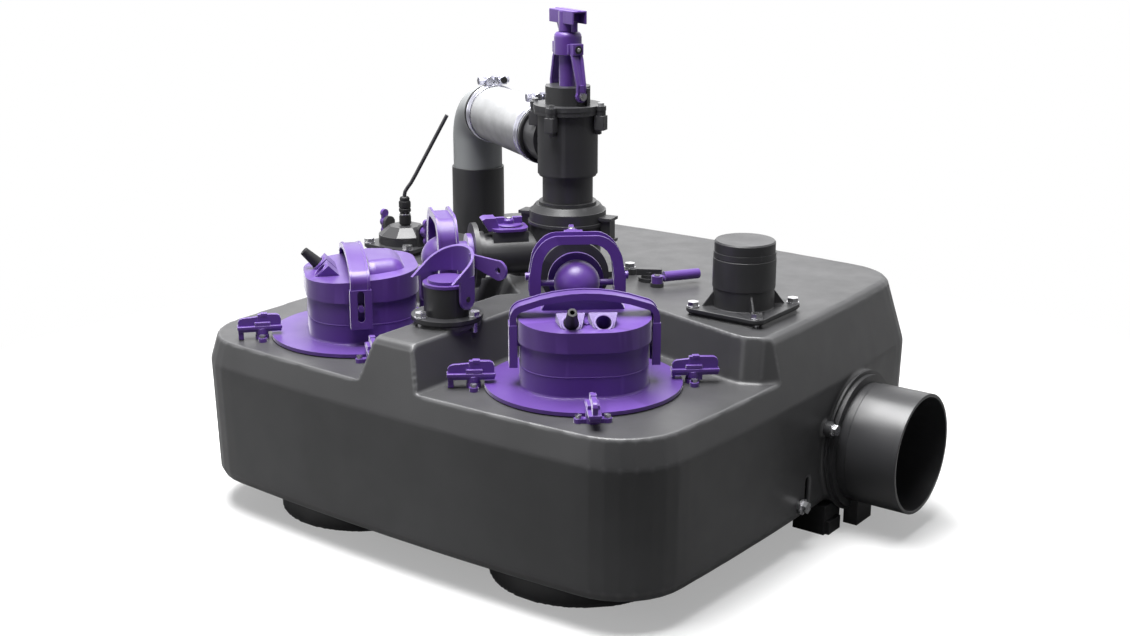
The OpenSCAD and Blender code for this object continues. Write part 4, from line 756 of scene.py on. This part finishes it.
def make_sensor_gland():
    gland = Shape("sensor_gland", "black", "station", AT_SENSOR)
    gland.turned([(8.4, 0), (8.8, 1), (8.8, 12), (8.2, 13.2)], steps=8)
    gland.turned([(7.2, 13), (7.2, 19)], steps=24)
    upper = [(7.8, 18), (8.9, 19.4), (8.9, 23), (8.2, 23.8), (8.2, 25), (8.9, 25.8), (8.9, 33), (8.0, 35)]
    gland.turned(upper, steps=10)
    gland.turned([(6.8, 34), (7.4, 38), (6.6, 40.4), (5.2, 41.4)], steps=24)
    gland.done(0.3)
    ring_line = Shape("sensor_gland_ring", "steel", "station", AT_SENSOR)
    ring_line.turned([(7.4, 14.4), (8.5, 14.4), (8.5, 16), (7.4, 16)], steps=24, hollow=True)
    ring_line.done(0.15)


make_sensor_gland()


# The tank: the CAD shell remeshed into one moulding with rounded edges
TANK_VOXEL = 2.5
TANK_SMOOTHING = 2
TANK_SMOOTH_FACTOR = 0.5


def make_tank():
    source = bpy.data.objects.new("tank_work", NODES["tank_shell"].data.copy())
    bpy.context.scene.collection.objects.link(source)
    weld = source.modifiers.new("weld", "WELD")
    weld.merge_threshold = WELD_REACH
    remesh = source.modifiers.new("remesh", "REMESH")
    remesh.mode = "VOXEL"
    remesh.voxel_size = TANK_VOXEL * MM
    remesh.use_smooth_shade = True
    smooth = source.modifiers.new("smooth", "SMOOTH")
    smooth.factor = TANK_SMOOTH_FACTOR
    smooth.iterations = TANK_SMOOTHING
    graph = bpy.context.evaluated_depsgraph_get()
    mesh = bpy.data.meshes.new_from_object(source.evaluated_get(graph))
    bpy.data.objects.remove(source)
    mesh.name = "tank_skin"
    tank = link_mesh("tank_skin", mesh, "tank", "station")
    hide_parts("tank_shell")


make_tank()


# Signal tube of the level sensor: the route of part.scad, in metres
TUBE_ROUTE = [
    (0, 0, 0), (0, 0, 0.008), (0.0008, 0.0006, 0.013), (0.0035, 0.0026, 0.0185), (0.008, 0.006, 0.026),
    (0.014, 0.0105, 0.039), (0.021, 0.0157, 0.055), (0.028, 0.021, 0.071), (0.035, 0.0262, 0.087),
    (0.042, 0.0315, 0.103), (0.049, 0.0367, 0.119), (0.052, 0.039, 0.126),
]
TUBE_DIAMETER = 0.0056


def make_signal_tube():
    foot_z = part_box("sensor_tube")[0].z
    low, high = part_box("sensor_base")
    start = Vector(((low.x + high.x) / 2, (low.y + high.y) / 2, foot_z))
    route = [start + Vector(p) for p in TUBE_ROUTE]
    data = bpy.data.curves.new("signal_tube", "CURVE")
    data.dimensions = "3D"
    spline = data.splines.new("POLY")
    spline.points.add(len(route) - 1)
    for point, place in zip(spline.points, route):
        point.co = (*place, 1)
    data.bevel_depth = TUBE_DIAMETER / 2
    data.bevel_resolution = 6
    data.use_fill_caps = True
    tube = bpy.data.objects.new("signal_tube", data)
    bpy.context.scene.collection.objects.link(tube)
    data.materials.append(MATERIALS["pipe"])
    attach(tube, "station")
    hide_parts("sensor_tube")


make_signal_tube()


# Studio
def area_light(name, place, target, size, power):
    data = bpy.data.lights.new(name, "AREA")
    data.shape = "RECTANGLE"
    data.size, data.size_y = size
    data.energy = power
    light = bpy.data.objects.new(name, data)
    light.location = place
    light.rotation_mode = "QUATERNION"
    light.rotation_quaternion = (Vector(target) - Vector(place)).to_track_quat("-Z", "Y")
    bpy.context.scene.collection.objects.link(light)


# The studio is dark on this side, level with the object, and white all round otherwise
DARK_SIDE = (0.75, -0.66, 0.0)
# How level a reflected ray is with the dark side where the dimming starts and where it is full
DARK_FROM = 0.35
DARK_FULL = 0.9
DARK_LEVEL = 0.08
FLOOR_HALF = 14.0
FLOOR_WHITE = (0.95, 0.95, 0.95)
FLOOR_SHADE = (0.22, 0.22, 0.22)
FLOOR_DARK = (0.04, 0.04, 0.04)
# Distances from the middle of the floor, in metres, between which its own shade fades to plain white
FADE_FROM = 0.62
FADE_FULL = 1.25
FADE_LEAST = 0.35
AMBIENT = 0.11
LIGHT_TARGET = (0, 0, 0.25)
# Place and size in metres, power in watts
LIGHTS = {
    "key": ((-1.8, -2.3, 1.15), (2.2, 0.8), 9),
    "top": ((-0.25, -0.25, 2.55), (2.2, 1.5), 188),
    "back": ((-1.9, 2.6, 1.35), (3.2, 1.5), 11),
    "fill": ((2.6, -1.2, 1.4), (1.4, 1.4), 3),
}


def make_floor():
    mesh = bpy.data.meshes.new("floor")
    corners = [(x * FLOOR_HALF, y * FLOOR_HALF, 0) for x, y in ((-1, -1), (1, -1), (1, 1), (-1, 1))]
    mesh.from_pydata(corners, [], [(0, 1, 2, 3)])
    floor = bpy.data.objects.new("floor", mesh)
    bpy.context.scene.collection.objects.link(floor)
    m = Material("floor_white")
    seen = m.add("ShaderNodeLightPath").outputs["Is Camera Ray"]
    side = m.add("ShaderNodeVectorMath", operation="DOT_PRODUCT")
    m.link(m.coords, side.inputs[0])
    side.inputs[1].default_value = DARK_SIDE
    darkness = m.remap(side.outputs["Value"], 0.2, 1.0, 0.0, 1.0)
    # Rays other than the camera's meet a grey floor, darker still on the dark side
    shade = m.mix(darkness, FLOOR_SHADE, FLOOR_DARK)
    m.link(m.mix(seen, shade, FLOOR_WHITE), m.socket("Base Color"))
    m.socket("Roughness").default_value = 0.7
    m.socket("Specular IOR Level").default_value = 0.2
    # To the camera the floor turns plain white away from the object's shadow
    reach = m.add("ShaderNodeVectorMath", operation="LENGTH")
    m.link(m.coords, reach.inputs[0])
    far = m.add("ShaderNodeMath", operation="MULTIPLY")
    m.link(m.remap(reach.outputs["Value"], FADE_FROM, FADE_FULL, FADE_LEAST, 1.0), far.inputs[0])
    m.link(seen, far.inputs[1])
    blank = m.add("ShaderNodeEmission")
    blend = m.add("ShaderNodeMixShader")
    m.link(far.outputs[0], blend.inputs[0])
    m.link(m.shader.outputs[0], blend.inputs[1])
    m.link(blank.outputs[0], blend.inputs[2])
    m.link(blend.outputs[0], m.tree.nodes["Material Output"].inputs["Surface"])
    mesh.materials.append(m.material)


def make_world():
    """White to the camera, white with a dark side in reflections, faint light for all else."""
    world = bpy.data.worlds.new("studio")
    bpy.context.scene.world = world
    world.use_nodes = True
    tree = world.node_tree
    tree.nodes.clear()
    output = tree.nodes.new("ShaderNodeOutputWorld")
    path = tree.nodes.new("ShaderNodeLightPath")
    seen = tree.nodes.new("ShaderNodeMath")
    seen.operation = "MAXIMUM"
    tree.links.new(path.outputs["Is Camera Ray"], seen.inputs[0])
    tree.links.new(path.outputs["Is Glossy Ray"], seen.inputs[1])
    mix = tree.nodes.new("ShaderNodeMixShader")
    ambient = tree.nodes.new("ShaderNodeBackground")
    ambient.inputs["Color"].default_value = (0.95, 0.97, 1.0, 1)
    ambient.inputs["Strength"].default_value = AMBIENT
    white = tree.nodes.new("ShaderNodeBackground")
    white.inputs["Color"].default_value = (1, 1, 1, 1)
    view = tree.nodes.new("ShaderNodeTexCoord")
    side = tree.nodes.new("ShaderNodeVectorMath")
    side.operation = "DOT_PRODUCT"
    side.inputs[1].default_value = DARK_SIDE
    tree.links.new(view.outputs["Generated"], side.inputs[0])
    dim = tree.nodes.new("ShaderNodeMapRange")
    ends = {"From Min": DARK_FROM, "From Max": DARK_FULL, "To Min": 1.0, "To Max": DARK_LEVEL}
    for name, value in ends.items():
        dim.inputs[name].default_value = value
    tree.links.new(side.outputs["Value"], dim.inputs["Value"])
    level = tree.nodes.new("ShaderNodeMath")
    level.operation = "MAXIMUM"
    tree.links.new(path.outputs["Is Camera Ray"], level.inputs[0])
    tree.links.new(dim.outputs["Result"], level.inputs[1])
    tree.links.new(level.outputs[0], white.inputs["Strength"])
    tree.links.new(seen.outputs[0], mix.inputs[0])
    tree.links.new(ambient.outputs[0], mix.inputs[1])
    tree.links.new(white.outputs[0], mix.inputs[2])
    tree.links.new(mix.outputs[0], output.inputs["Surface"])


make_floor()
make_world()
for light_name, (light_place, light_size, light_power) in LIGHTS.items():
    area_light(light_name, light_place, LIGHT_TARGET, light_size, light_power)
bpy.context.scene.view_settings.view_transform = "Standard"
